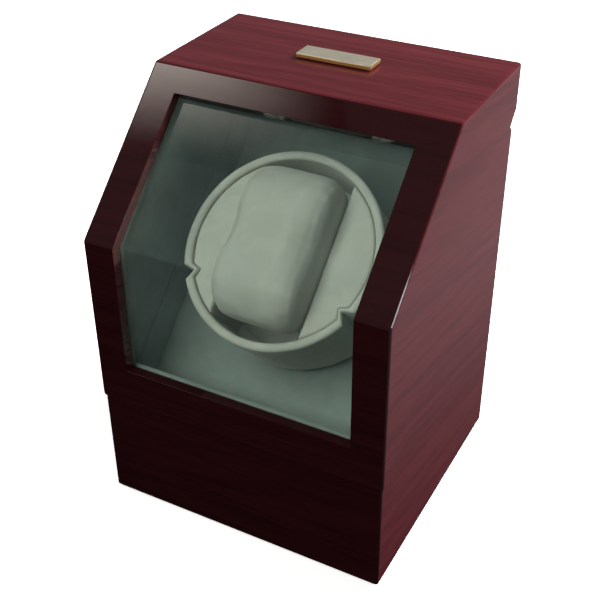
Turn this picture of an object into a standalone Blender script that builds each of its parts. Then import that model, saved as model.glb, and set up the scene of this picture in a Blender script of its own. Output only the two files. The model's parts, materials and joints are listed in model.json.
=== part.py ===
"""A single watch winder box: a lacquered wooden case with a hinged glazed lid and a motor-driven drum.

The case stands on the ground plane with its front towards -Y. The lid parts from the base along a
sloping seam and swings up about a hinge axis at the back. Run with Blender 4.5.
"""
import math

import bmesh
import bpy
from mathutils import Matrix, Vector

MM = 0.001

# ---- driving dimensions -------------------------------------------------------------------------
CASE_WIDTH = 145.0 * MM
CASE_DEPTH = 135.0 * MM
CASE_HEIGHT = 201.6 * MM
FOOT_HEIGHT = 1.2 * MM
WALL = 9.0 * MM
LID_OVERHANG = 0.8 * MM          # how far the lid stands proud of the base
EDGE_ROUND = 1.4 * MM            # rounding of the wooden edges

SLANT_ANGLE = math.radians(46.7)  # front slant, leaning back from the vertical
SLANT_RISE = 59.7 * MM           # height of the slanted part of the front
SEAM_DROP = 84.4 * MM            # knee of the front down to the seam, at the front
APEX_DROP = 28.3 * MM            # top of the case down to the seam, at the back
APEX_INSET = 5.9 * MM            # depth of the notch behind the seam at the back
NOTCH_RISE = 6.5 * MM            # height of the lid's chamfer above that notch
SEAM_GAP = 0.4 * MM

WINDOW_SIDE_MARGIN = 15.8 * MM
WINDOW_TOP_MARGIN = 13.2 * MM    # measured down the slant
WINDOW_SILL_RISE = 19.6 * MM     # window's lower edge above the seam, at the front
FRAME_LIP = 4.8 * MM             # wood in front of the pane
PANE_THICKNESS = 2.0 * MM
PANE_OVERLAP = 4.0 * MM          # pane hidden behind the lip
LINER_THICKNESS = 2.2 * MM
LINER_SETBACK = 1.6 * MM         # liner's edge outside the wooden opening
LINING = 1.5 * MM                # fabric-covered boards inside the case
LINING_STANDOFF = 0.7 * MM       # their edges stay this far from the seam

DRUM_TILT = math.radians(47.6)   # rim plane, leaning back from the vertical
DRUM_ALONG_SLANT = 27.5 * MM     # knee to the drum's centre, up the slant
DRUM_BEHIND_SLANT = 36.3 * MM    # outer face of the slant to the rim's centre
DRUM_RADIUS = 46.6 * MM
DRUM_WALL = 4.0 * MM
DRUM_DEPTH = 43.0 * MM
DRUM_FLOOR = 3.0 * MM
DRUM_TAPER = 1.2 * MM
DRUM_RIM_ROUND = 1.0 * MM
DRUM_FLOOR_ROUND = 4.0 * MM
NOTCH_ANGLES = (208.0, 332.0)    # places of the two V dents round the rim, in degrees
NOTCH_DEPTH = 4.6 * MM
NOTCH_HALF_WIDTH = 3.0 * MM

SLOT_HALF_WIDTH = 21.8 * MM      # pillow pocket, between the two inserts
INSERT_SINK = 1.4 * MM           # inserts lie this far below the rim
INSERT_WALL = 2.0 * MM
PILLOW_CROWN = 21.0 * MM         # pillow above the rim plane
PILLOW_BELOW = 22.0 * MM
PILLOW_END_GAP = 7.3 * MM        # pillow's ends to the inside of the drum
PILLOW_ROUND = 5.0 * MM
PILLOW_FULLNESS = 0.86           # 1 for an ellipse, less for a squarer roll
CRADLE_THICKNESS = 2.0 * MM
CRADLE_END_INSET = 8.0 * MM

PARTITION_GAP = 3.5 * MM         # drum's back to the partition
PARTITION_THICKNESS = 5.0 * MM
CLEAT_SIZE = 8.0 * MM
CLEAT_END_INSET = 15.0 * MM

SHAFT_RADIUS = 3.0 * MM
SHAFT_STUD_RADIUS = 2.2 * MM
RUNNING_CLEARANCE = 0.06 * MM
BUSHING_RADIUS = 6.0 * MM
BUSHING_FLANGE_RADIUS = 10.0 * MM
BUSHING_FLANGE = 1.2 * MM
BUSHING_TAIL = 3.0 * MM          # bushing beyond the back of the partition
NUT_RADIUS = 4.6 * MM
NUT_HEIGHT = 3.0 * MM

PULLEY_GROOVE_RADIUS = 15.9 * MM
MOTOR_GROOVE_RADIUS = 4.3 * MM
GROOVE_DEPTH = 2.2 * MM
GROOVE_MOUTH = 2.3 * MM          # half widths of the groove, at its mouth and bed
GROOVE_BED = 0.8 * MM
PULLEY_HALF_WIDTH = 3.0 * MM
BELT_RADIUS = 1.2 * MM
MOTOR_OFFSET = 34.0 * MM         # drum shaft to motor shaft
BRACKET_THICKNESS = 1.5 * MM
BRACKET_HALF_WIDTH = 25.0 * MM
BRACKET_END = 18.0 * MM          # bracket below the motor's shaft
BRACKET_TOP = 26.0 * MM          # bracket above the drum's shaft
BRACKET_HOLE_RADIUS = 4.0 * MM
STANDOFF_RADIUS = 3.0 * MM
STANDOFF_INSET = 5.0 * MM
GEARBOX_RADIUS = 14.0 * MM
GEARBOX_LENGTH = 10.0 * MM
MOTOR_RADIUS = 12.0 * MM
MOTOR_LENGTH = 18.0 * MM
MOTOR_BOSS_RADIUS = 4.0 * MM
MOTOR_BOSS_HEIGHT = 1.0 * MM
MOTOR_SHAFT_RADIUS = 1.5 * MM
MOTOR_SHAFT_SEAT = 3.0 * MM      # length of the shaft inside the gearbox

HINGE_SPACING = 84.0 * MM        # between the middles of the two hinges
HINGE_WIDTH = 24.0 * MM
HINGE_LEAF = 20.0 * MM           # height of a leaf, from the axis
HINGE_PLATE = 1.0 * MM
BARREL_RADIUS = 1.8 * MM
HINGE_PIN_RADIUS = 0.8 * MM
KNUCKLE_GAP = 0.15 * MM
LEAF_SINK = 0.1 * MM             # leaves lie this far below the wood around them
AXIS_RISE = 1.1 * MM             # hinge axis above the seam's back edge

MAGNET_RADIUS = 2.6 * MM
MAGNET_THICKNESS = 2.0 * MM

BOTTOM_THICKNESS = 4.8 * MM
BOTTOM_SINK = 0.2 * MM           # panel above the lower edge of the walls
RABBET = 4.5 * MM                # ledge in the walls that the panel is let into
FOOT_RADIUS = 7.0 * MM
FOOT_INSET = 20.0 * MM
FOOT_THICKNESS = 1.1 * MM
SCREW_HEAD_RADIUS = 2.0 * MM
SCREW_SHANK_RADIUS = 1.1 * MM
SCREW_LENGTH = 12.0 * MM
SCREW_TIP = 2.0 * MM
SCREW_SLOT_WIDTH = 0.5 * MM
SCREW_SLOT_DEPTH = 0.6 * MM
SCREW_Y = 38.0 * MM

PLATE_WIDTH = 36.5 * MM
PLATE_DEPTH = 11.0 * MM
PLATE_THICKNESS = 2.2 * MM
PLATE_ROUND = 0.5 * MM

CONTROL_X = 33.0 * MM            # middle of the control opening
CONTROL_RISE = 39.0 * MM         # above the underside of the case
CONTROL_WIDTH = 40.0 * MM
CONTROL_HEIGHT = 24.0 * MM
CONTROL_LAP = 4.0 * MM           # control plate beyond its opening
CONTROL_PLATE = 2.0 * MM
KNOB_X = -11.0 * MM              # from the middle of the opening
KNOB_RADIUS = 6.2 * MM
KNOB_LENGTH = 7.0 * MM
KNOB_STEM_RADIUS = 2.0 * MM
KNOB_STEM_REACH = 4.0 * MM       # stem beyond the back of the control plate
KNOB_MARK_WIDTH = 1.0 * MM
KNOB_MARK_DEPTH = 0.6 * MM
SWITCH_X = 3.0 * MM
SWITCH_WIDTH = 9.4 * MM
SWITCH_HEIGHT = 14.4 * MM
SWITCH_DEPTH = 7.0 * MM
SWITCH_FLANGE = 1.0 * MM         # thickness and overlap of its flange
SWITCH_WALL = 1.0 * MM
ROCKER_TILT = math.radians(8)
ROCKER_END_GAP = 0.7 * MM
ROCKER_PIVOT_DEPTH = 0.5 * MM
JACK_X = 14.0 * MM
JACK_RADIUS = 4.2 * MM
JACK_BORE_RADIUS = 2.8 * MM
JACK_PIN_RADIUS = 0.9 * MM
JACK_FLANGE = 1.0 * MM           # thickness and overlap of its flange
JACK_FLOOR = 1.5 * MM
SELECTOR_SIZE = 13.0 * MM
SELECTOR_DEPTH = 6.4 * MM
BOARD_THICKNESS = 1.6 * MM
BOARD_HEIGHT = 28.0 * MM
LEAD_RADIUS = 1.0 * MM
LEAD_REACH = 13.0 * MM           # how far the lead runs straight out of each end

FIT_GAP = 0.3 * MM               # between pieces that touch in the real box
OVERRUN = 5.0 * MM               # cutters reach this far past the faces they open

# ---- places worked out from them ----------------------------------------------------------------
HALF_WIDTH = CASE_WIDTH / 2
FRONT_Y = -CASE_DEPTH / 2
BACK_Y = CASE_DEPTH / 2
BOTTOM_Z = FOOT_HEIGHT
TOP_Z = BOTTOM_Z + CASE_HEIGHT
KNEE_Z = TOP_Z - SLANT_RISE
INNER_X = HALF_WIDTH - WALL
INNER_Y = CASE_DEPTH / 2 - WALL
INNER_TOP = TOP_Z - WALL
BASE_HALF_WIDTH = HALF_WIDTH - LID_OVERHANG
BASE_Y = CASE_DEPTH / 2 - LID_OVERHANG
APEX_Y = BACK_Y - APEX_INSET
APEX_Z = TOP_Z - APEX_DROP
SEAM_FRONT_Z = KNEE_Z - SEAM_DROP
SEAM_SLOPE = (APEX_Z - SEAM_FRONT_Z) / (APEX_Y - FRONT_Y)
SLANT_LENGTH = SLANT_RISE / math.cos(SLANT_ANGLE)
WINDOW_HALF_WIDTH = HALF_WIDTH - WINDOW_SIDE_MARGIN
WINDOW_SILL_Z = SEAM_FRONT_Z + WINDOW_SILL_RISE
WINDOW_TOP = SLANT_LENGTH - WINDOW_TOP_MARGIN     # distance up the slant from the knee
FRAME_DEPTH = FRAME_LIP + PANE_THICKNESS + FIT_GAP
LINER_FRONT = FRAME_DEPTH + FIT_GAP
LINER_BACK = LINER_FRONT + LINER_THICKNESS
LINING_X = INNER_X - FIT_GAP
LINING_Y = INNER_Y - FIT_GAP
HINGE_AXIS = Vector((0, BACK_Y - BARREL_RADIUS - LEAF_SINK, APEX_Z + AXIS_RISE))

SLANT_UP = Vector((0, math.sin(SLANT_ANGLE), math.cos(SLANT_ANGLE)))
SLANT_IN = Vector((0, math.cos(SLANT_ANGLE), -math.sin(SLANT_ANGLE)))
KNEE = Vector((0, FRONT_Y, KNEE_Z))
DRUM_CENTRE = KNEE + SLANT_UP * DRUM_ALONG_SLANT + SLANT_IN * DRUM_BEHIND_SLANT
DRUM_AXIS = Vector((0, -math.cos(DRUM_TILT), math.sin(DRUM_TILT)))
DRUM_UP = Vector((0, math.sin(DRUM_TILT), math.cos(DRUM_TILT)))
DRUM_INNER = DRUM_RADIUS - DRUM_WALL

# heights along the drum's axis, measured from the rim plane
PARTITION_FRONT_H = -DRUM_DEPTH - PARTITION_GAP
PARTITION_BACK_H = PARTITION_FRONT_H - PARTITION_THICKNESS
BUSHING_END_H = PARTITION_BACK_H - BUSHING_TAIL
PULLEY_H = BUSHING_END_H - 5 * MM - PULLEY_HALF_WIDTH
SHAFT_END_H = PULLEY_H - PULLEY_HALF_WIDTH - 1.5 * MM
BRACKET_TOP_H = SHAFT_END_H - 2 * MM
BRACKET_BACK_H = BRACKET_TOP_H - BRACKET_THICKNESS
GEARBOX_TOP_H = BRACKET_BACK_H - FIT_GAP
GEARBOX_END_H = GEARBOX_TOP_H - GEARBOX_LENGTH
MOTOR_TOP_H = GEARBOX_END_H - FIT_GAP
BELT_REACH = PULLEY_GROOVE_RADIUS + FIT_GAP + BELT_RADIUS
MOTOR_BELT_REACH = MOTOR_GROOVE_RADIUS + FIT_GAP + BELT_RADIUS

CONTROL_Z = BOTTOM_Z + CONTROL_RISE
CONTROL_FACE_Y = LINING_Y                         # outer face of the control plate
CONTROL_BACK_Y = CONTROL_FACE_Y - CONTROL_PLATE
BOARD_FRONT_Y = CONTROL_BACK_Y - FIT_GAP - SELECTOR_DEPTH - FIT_GAP


# ---- scene, materials and shared shapes ----------------------------------------------------------
def empty_scene():
    for old in list(bpy.data.objects):
        bpy.data.objects.remove(old, do_unlink=True)


def new_collection(name):
    collection = bpy.data.collections.new(name)
    bpy.context.scene.collection.children.link(collection)
    return collection


empty_scene()
PARTS = new_collection("watch_winder_box")
CUTTERS = new_collection("cutters")


def material(name, colour, roughness, metallic=0.0, alpha=1.0):
    """A Principled material, made once for each name."""
    found = bpy.data.materials.get(name)
    if found:
        return found
    made = bpy.data.materials.new(name)
    made.use_nodes = True
    shader = made.node_tree.nodes["Principled BSDF"]
    shader.inputs["Base Color"].default_value = (*colour, 1.0)
    shader.inputs["Roughness"].default_value = roughness
    shader.inputs["Metallic"].default_value = metallic
    shader.inputs["Alpha"].default_value = alpha
    return made


CHERRY = material("cherry_lacquer", (0.10, 0.012, 0.014), 0.12)
BARE_BOARD = material("bare_board", (0.35, 0.25, 0.16), 0.8)
GLAZING = material("tinted_glazing", (0.55, 0.66, 0.62), 0.04, alpha=0.3)
SUEDE = material("suede_lining", (0.30, 0.33, 0.28), 0.95)
CREAM = material("cream_velvet", (0.50, 0.50, 0.42), 0.95)
BRASS = material("brass", (0.78, 0.62, 0.34), 0.25, 1.0)
STEEL = material("steel", (0.55, 0.55, 0.55), 0.35, 1.0)
BLACK_PLASTIC = material("black_plastic", (0.02, 0.02, 0.02), 0.5)
WHITE_PLASTIC = material("white_plastic", (0.75, 0.74, 0.70), 0.5)
RUBBER = material("rubber", (0.02, 0.02, 0.02), 0.8)
FELT = material("felt", (0.03, 0.03, 0.03), 1.0)
BOARD_GREEN = material("board_green", (0.02, 0.12, 0.05), 0.45)


def place(mesh, name, look=None, matrix=None, parent=None):
    """Link a mesh as a part, or as a hidden cutter when it has no material."""
    thing = bpy.data.objects.new(name, mesh)
    if look:
        mesh.materials.clear()
        mesh.materials.append(look)
        PARTS.objects.link(thing)
    else:
        CUTTERS.objects.link(thing)
        thing.hide_render = True
        thing.display_type = "WIRE"
    if matrix:
        thing.matrix_world = matrix
    if parent:
        thing.parent = parent
        thing.matrix_parent_inverse = parent.matrix_world.inverted()
    return thing


def finish_mesh(bm, name, smooth_angle=None):
    mesh = bpy.data.meshes.new(name)
    bm.to_mesh(mesh)
    bm.free()
    if smooth_angle:
        mesh.shade_smooth()
        mesh.set_sharp_from_angle(angle=smooth_angle)
    return mesh


def box_mesh(name, low, high):
    """A box between two corners."""
    low, high = Vector(low), Vector(high)
    bm = bmesh.new()
    size = high - low
    spot = Matrix.Translation((low + high) / 2) @ Matrix.Diagonal((*size, 1))
    bmesh.ops.create_cube(bm, size=1, matrix=spot)
    return finish_mesh(bm, name)


def rod_mesh(name, radius, low, high, sides=32, matrix=None):
    """A cylinder about local Z between two heights."""
    bm = bmesh.new()
    spot = Matrix.Translation((0, 0, (low + high) / 2))
    if matrix:
        spot = matrix @ spot
    bmesh.ops.create_cone(
        bm, cap_ends=True, segments=sides, radius1=radius, radius2=radius, depth=high - low, matrix=spot
    )
    return finish_mesh(bm, name, math.radians(40))


def outline_mesh(name, points, thickness):
    """A flat outline in local XY as a solid of that thickness about local Z."""
    curve = bpy.data.curves.new(name, "CURVE")
    curve.dimensions = "2D"
    curve.fill_mode = "BOTH"
    curve.extrude = thickness / 2
    spline = curve.splines.new("POLY")
    spline.points.add(len(points) - 1)
    for slot, point in zip(spline.points, points):
        slot.co = (point[0], point[1], 0, 1)
    spline.use_cyclic_u = True
    return solid_from_curve(curve, name)


def solid_from_curve(curve, name):
    """The solid mesh of a curve with its caps welded on."""
    guide = bpy.data.objects.new(name + "_curve", curve)
    CUTTERS.objects.link(guide)
    evaluated = guide.evaluated_get(bpy.context.evaluated_depsgraph_get())
    mesh = bpy.data.meshes.new_from_object(evaluated)
    bpy.data.objects.remove(guide, do_unlink=True)
    bm = bmesh.new()
    bm.from_mesh(mesh)
    bmesh.ops.remove_doubles(bm, verts=bm.verts, dist=0.002 * MM)
    bmesh.ops.dissolve_limit(bm, angle_limit=math.radians(0.5), verts=bm.verts, edges=bm.edges)
    bmesh.ops.recalc_face_normals(bm, faces=bm.faces)
    return finish_mesh(bm, name)


# outlines of the case are drawn in Y and Z, and run across the case along X
ACROSS = Matrix(((0, 0, 1, 0), (1, 0, 0, 0), (0, 1, 0, 0), (0, 0, 0, 1)))


def across_case(name, outline, left, right, look=None, parent=None):
    """A solid with a Y-Z outline, from one X to another."""
    mesh = outline_mesh(name, outline, right - left)
    matrix = Matrix.Translation(((left + right) / 2, 0, 0)) @ ACROSS
    return place(mesh, name, look, matrix, parent)


def drum_matrix(x=0.0, up=0.0, height=0.0):
    """Local Z along the drum's axis and local Y up the rim plane, from the rim's centre."""
    spot = DRUM_CENTRE + Vector((x, 0, 0)) + DRUM_UP * up + DRUM_AXIS * height
    turn = Matrix((Vector((1, 0, 0)), DRUM_UP, DRUM_AXIS)).transposed().to_4x4()
    return Matrix.Translation(spot) @ turn


def turned(name, profile, look, matrix, steps=48, closed=True, smooth_angle=35, parent=None):
    """A turned piece: the profile is radius and height, running down the outer side."""
    bm = bmesh.new()
    verts = [bm.verts.new((radius, 0, height)) for radius, height in profile]
    for first, second in zip(verts, verts[1:]):
        bm.edges.new((first, second))
    if closed:
        bm.edges.new((verts[-1], verts[0]))
    piece = place(finish_mesh(bm, name), name, look, matrix, parent)
    screw = piece.modifiers.new("turn", "SCREW")
    screw.steps = steps
    screw.render_steps = steps
    screw.use_merge_vertices = True
    screw.merge_threshold = 0.01 * MM
    screw.use_smooth_shade = smooth_angle > 0
    return piece


def cut(target, cutter):
    modifier = target.modifiers.new("cut " + cutter.name, "BOOLEAN")
    modifier.operation = "DIFFERENCE"
    modifier.object = cutter


def unite(target, other):
    modifier = target.modifiers.new("join " + other.name, "BOOLEAN")
    modifier.operation = "UNION"
    modifier.object = other


def round_edges(target, width, segments=3, angle=30):
    modifier = target.modifiers.new("round", "BEVEL")
    modifier.width = width
    modifier.segments = segments
    modifier.limit_method = "ANGLE"
    modifier.angle_limit = math.radians(angle)


def arc(centre, radius, start, end, steps):
    """Points of an arc, angles in degrees."""
    turns = [math.radians(start + (end - start) * i / steps) for i in range(steps + 1)]
    return [(centre[0] + radius * math.cos(t), centre[1] + radius * math.sin(t)) for t in turns]


# ---- lines of the case ---------------------------------------------------------------------------
def seam_z(y):
    return SEAM_FRONT_Z + (y - FRONT_Y) * SEAM_SLOPE


def front_knee(depth):
    """The bend of the front at a depth behind its outer face."""
    return (FRONT_Y + depth, KNEE_Z - depth * math.tan(SLANT_ANGLE / 2))


def slant_point(along, depth):
    spot = KNEE + SLANT_UP * along + SLANT_IN * depth
    return (spot.y, spot.z)


def slant_at_height(depth, z):
    """Where the slanted part, at a depth, reaches a height."""
    along = (z - KNEE_Z + depth * math.sin(SLANT_ANGLE)) / math.cos(SLANT_ANGLE)
    return slant_point(along, depth)


def plane_z(height, y):
    """Height in the world of a plane square to the drum's axis, at a depth y in the case."""
    run = (y - DRUM_CENTRE.y) * math.cos(DRUM_TILT)
    return DRUM_CENTRE.z + (height + run) / math.sin(DRUM_TILT)


def window_outline(margin, shallow, deep):
    """Y-Z outline of the window opening, grown by a margin, between two depths."""
    sill = WINDOW_SILL_Z - margin
    top = WINDOW_TOP + margin
    return [
        (FRONT_Y + shallow, sill), (FRONT_Y + deep, sill), front_knee(deep), slant_point(top, deep),
        slant_point(top, shallow), front_knee(shallow),
    ]


# ---- base ----------------------------------------------------------------------------------------
def make_base():
    corner = BASE_Y - APEX_Y
    rounding = arc((APEX_Y, APEX_Z - SEAM_GAP - corner), corner, 0, 90, 5)
    outline = [
        (-BASE_Y, BOTTOM_Z), (BASE_Y, BOTTOM_Z), *rounding, (-BASE_Y, seam_z(-BASE_Y) - SEAM_GAP),
    ]
    base = across_case("base_case", outline, -BASE_HALF_WIDTH, BASE_HALF_WIDTH, CHERRY)
    round_edges(base, EDGE_ROUND)

    low = BOTTOM_Z - OVERRUN
    cavity = box_mesh("base_cavity", (-INNER_X, -INNER_Y, low), (INNER_X, INNER_Y, TOP_Z))
    cut(base, place(cavity, "base_cavity"))
    shelf = BOTTOM_Z + BOTTOM_SINK + BOTTOM_THICKNESS + FIT_GAP
    wide, deep = INNER_X + RABBET, INNER_Y + RABBET
    rabbet = box_mesh("base_rabbet", (-wide, -deep, low), (wide, deep, shelf))
    cut(base, place(rabbet, "base_rabbet"))
    opening = box_mesh(
        "control_opening",
        (CONTROL_X - CONTROL_WIDTH / 2, INNER_Y - OVERRUN, CONTROL_Z - CONTROL_HEIGHT / 2),
        (CONTROL_X + CONTROL_WIDTH / 2, BACK_Y + OVERRUN, CONTROL_Z + CONTROL_HEIGHT / 2),
    )
    cut(base, place(opening, "control_opening"))
    for side, x in hinge_places():
        half = HINGE_WIDTH / 2 + FIT_GAP
        foot = HINGE_AXIS.z - HINGE_LEAF - FIT_GAP
        recess = box_mesh(
            f"base_leaf_recess_{side}",
            (x - half, base_leaf_y() - FIT_GAP, foot), (x + half, BACK_Y + OVERRUN, TOP_Z),
        )
        cut(base, place(recess, f"base_leaf_recess_{side}"))
    for index, (x, y) in enumerate(screw_places(), 1):
        hole = rod_mesh("screw_hole", SCREW_SHANK_RADIUS + FIT_GAP, 0, SCREW_LENGTH + FIT_GAP, 12)
        spot = Matrix.Translation((x, y, BOTTOM_Z + BOTTOM_SINK))
        cut(base, place(hole, f"screw_hole_{index}", matrix=spot))
    cut(base, magnet_pocket("base_magnet_pocket", -1))
    return base


def screw_places():
    x = INNER_X + RABBET / 2
    return [(side * x, y) for side in (-1, 1) for y in (-SCREW_Y, SCREW_Y)]


def make_bottom():
    reach_x = INNER_X + RABBET - FIT_GAP
    reach_y = INNER_Y + RABBET - FIT_GAP
    low = BOTTOM_Z + BOTTOM_SINK
    panel = box_mesh(
        "bottom_panel", (-reach_x, -reach_y, low), (reach_x, reach_y, low + BOTTOM_THICKNESS)
    )
    panel = place(panel, "bottom_panel", BARE_BOARD)
    head, shank = SCREW_HEAD_RADIUS, SCREW_SHANK_RADIUS
    seat = 0.1 * MM                  # heads lie this far inside the panel's face
    neck = seat + head - shank
    for index, (x, y) in enumerate(screw_places(), 1):
        spot = Matrix.Translation((x, y, low))
        clearance = turned(
            f"panel_hole_{index}",
            [
                (0, BOTTOM_THICKNESS + OVERRUN), (shank + FIT_GAP, BOTTOM_THICKNESS + OVERRUN),
                (shank + FIT_GAP, neck + FIT_GAP), (head + FIT_GAP, seat + FIT_GAP),
                (head + FIT_GAP, -OVERRUN), (0, -OVERRUN),
            ],
            None, spot, steps=16, closed=False,
        )
        cut(panel, clearance)
        screw = turned(
            f"bottom_screw_{index}",
            [
                (0, SCREW_LENGTH), (shank * 0.3, SCREW_LENGTH), (shank, SCREW_LENGTH - SCREW_TIP),
                (shank, neck), (head, seat), (0, seat),
            ],
            STEEL, spot, steps=16, closed=False,
        )
        half = SCREW_SLOT_WIDTH / 2
        reach = head * 1.5
        slot = box_mesh("screw_slot", (-reach, -half, -OVERRUN), (reach, half, SCREW_SLOT_DEPTH))
        slot_turn = spot @ Matrix.Rotation(math.radians(35), 4, "Z")
        cut(screw, place(slot, f"screw_slot_{index}", matrix=slot_turn))


def make_feet():
    x = HALF_WIDTH - FOOT_INSET
    y = CASE_DEPTH / 2 - FOOT_INSET
    places = [(-x, -y), (x, -y), (-x, y), (x, y)]
    for index, (foot_x, foot_y) in enumerate(places, 1):
        foot = rod_mesh("foot", FOOT_RADIUS, 0, FOOT_THICKNESS, 32)
        place(foot, f"foot_{index}", FELT, Matrix.Translation((foot_x, foot_y, 0)))


def magnet_frame():
    """Seat of the magnets: on the seam over the front wall, local Z square to the seam."""
    y = (FRONT_Y - INNER_Y) / 2 + LID_OVERHANG / 2
    lean = math.atan(SEAM_SLOPE)
    return Matrix.Translation((0, y, seam_z(y))) @ Matrix.Rotation(lean, 4, "X")


def seam_drop():
    """Width of the seam measured square to it."""
    return SEAM_GAP * math.cos(math.atan(SEAM_SLOPE))


def magnet_pocket(name, side):
    """Blind hole for a magnet, above the seam (1) or below it (-1)."""
    start = 0 if side > 0 else -seam_drop()
    ends = sorted((start - side * OVERRUN, start + side * (MAGNET_THICKNESS + 2 * FIT_GAP)))
    hole = rod_mesh(name, MAGNET_RADIUS + FIT_GAP, *ends, 24)
    return place(hole, name, matrix=magnet_frame())


def make_magnet(name, side, parent=None):
    """The magnet in that hole, half a gap behind the face of the seam."""
    start = (0 if side > 0 else -seam_drop()) + side * FIT_GAP / 2
    ends = sorted((start, start + side * MAGNET_THICKNESS))
    place(rod_mesh(name, MAGNET_RADIUS, *ends, 24), name, STEEL, magnet_frame(), parent)


# ---- lid -----------------------------------------------------------------------------------------
def make_lid(hinge):
    outline = [
        (FRONT_Y, SEAM_FRONT_Z), (APEX_Y, APEX_Z), (BACK_Y, APEX_Z + NOTCH_RISE), (BACK_Y, TOP_Z),
        slant_point(SLANT_LENGTH, 0), (FRONT_Y, KNEE_Z),
    ]
    lid = across_case("lid_case", outline, -HALF_WIDTH, HALF_WIDTH, CHERRY, hinge)
    round_edges(lid, EDGE_ROUND)

    front = FRONT_Y + FRAME_DEPTH
    cavity = [
        (front, SEAM_FRONT_Z - OVERRUN), (INNER_Y, seam_z(INNER_Y) - OVERRUN), (INNER_Y, INNER_TOP),
        slant_at_height(FRAME_DEPTH, INNER_TOP), front_knee(FRAME_DEPTH),
    ]
    cut(lid, across_case("lid_cavity", cavity, -INNER_X, INNER_X))
    window = window_outline(0, -OVERRUN, FRAME_DEPTH + OVERRUN)
    cut(lid, across_case("window_opening", window, -WINDOW_HALF_WIDTH, WINDOW_HALF_WIDTH))
    rebate = window_outline(PANE_OVERLAP, FRAME_LIP, FRAME_DEPTH + OVERRUN)
    reach = WINDOW_HALF_WIDTH + PANE_OVERLAP
    cut(lid, across_case("pane_rebate", rebate, -reach, reach))
    for side, x in hinge_places():
        half = HINGE_WIDTH / 2 + FIT_GAP
        recess = box_mesh(
            f"lid_leaf_recess_{side}",
            (x - half, lid_leaf_y() - FIT_GAP, APEX_Z - OVERRUN),
            (x + half, BACK_Y + OVERRUN, HINGE_AXIS.z + HINGE_LEAF + FIT_GAP),
        )
        cut(lid, place(recess, f"lid_leaf_recess_{side}"))
    cut(lid, magnet_pocket("lid_magnet_pocket", 1))


def make_pane(hinge):
    margin = PANE_OVERLAP - FIT_GAP
    shallow = FRAME_LIP + FIT_GAP / 2
    outline = window_outline(margin, shallow, shallow + PANE_THICKNESS)
    reach = WINDOW_HALF_WIDTH + margin
    across_case("window_pane", outline, -reach, reach, GLAZING, hinge)


def lid_floor(y):
    """Lower edge of what lines the lid."""
    return seam_z(y) + LINING_STANDOFF


def make_lid_linings(hinge):
    front, back = FRONT_Y + LINER_FRONT, FRONT_Y + LINER_BACK
    ceiling = INNER_TOP - FIT_GAP
    liner = [
        (front, lid_floor(front)), (back, lid_floor(back)), front_knee(LINER_BACK),
        slant_at_height(LINER_BACK, ceiling), slant_at_height(LINER_FRONT, ceiling),
        front_knee(LINER_FRONT),
    ]
    frame = across_case("window_liner", liner, -LINING_X, LINING_X, SUEDE, hinge)
    opening = window_outline(LINER_SETBACK, 0, LINER_BACK + OVERRUN)
    reach = WINDOW_HALF_WIDTH + LINER_SETBACK
    cut(frame, across_case("liner_opening", opening, -reach, reach))

    depth = LINER_BACK + FIT_GAP
    start = FRONT_Y + depth
    side_outline = [
        (start, lid_floor(start)), (LINING_Y, lid_floor(LINING_Y)), (LINING_Y, ceiling),
        slant_at_height(depth, ceiling), front_knee(depth),
    ]
    for side, left in (("left", -LINING_X), ("right", LINING_X - LINING)):
        across_case(f"lid_{side}_lining", side_outline, left, left + LINING, SUEDE, hinge)
    reach = LINING_X - LINING - FIT_GAP
    under = ceiling - LINING
    top_outline = [
        slant_at_height(depth, under), (LINING_Y, under), (LINING_Y, ceiling),
        slant_at_height(depth, ceiling),
    ]
    across_case("lid_top_lining", top_outline, -reach, reach, SUEDE, hinge)
    inside = LINING_Y - LINING
    back_outline = [
        (inside, lid_floor(inside)), (LINING_Y, lid_floor(LINING_Y)),
        (LINING_Y, under - FIT_GAP), (inside, under - FIT_GAP),
    ]
    across_case("lid_back_lining", back_outline, -reach, reach, SUEDE, hinge)


def make_name_plate(hinge):
    """A blank brass plate in the middle of the top face."""
    top_front = slant_point(SLANT_LENGTH, 0)[0]
    middle = (top_front + BACK_Y) / 2
    low = TOP_Z + FIT_GAP
    mesh = box_mesh(
        "name_plate",
        (-PLATE_WIDTH / 2, middle - PLATE_DEPTH / 2, low),
        (PLATE_WIDTH / 2, middle + PLATE_DEPTH / 2, low + PLATE_THICKNESS),
    )
    plate = place(mesh, "name_plate", BRASS, parent=hinge)
    round_edges(plate, PLATE_ROUND, 2)


# ---- hinges --------------------------------------------------------------------------------------
def hinge_places():
    return [("left", -HINGE_SPACING / 2), ("right", HINGE_SPACING / 2)]


def base_leaf_y():
    """Inner face of the base leaves, let in flush with the back of the base."""
    return BASE_Y - 2 * LEAF_SINK - HINGE_PLATE


def lid_leaf_y():
    return BACK_Y - LEAF_SINK - HINGE_PLATE


def along_x(x, y, z):
    """Local Z along the world's X."""
    return Matrix.Translation((x, y, z)) @ Matrix.Rotation(math.radians(90), 4, "Y")


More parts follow.
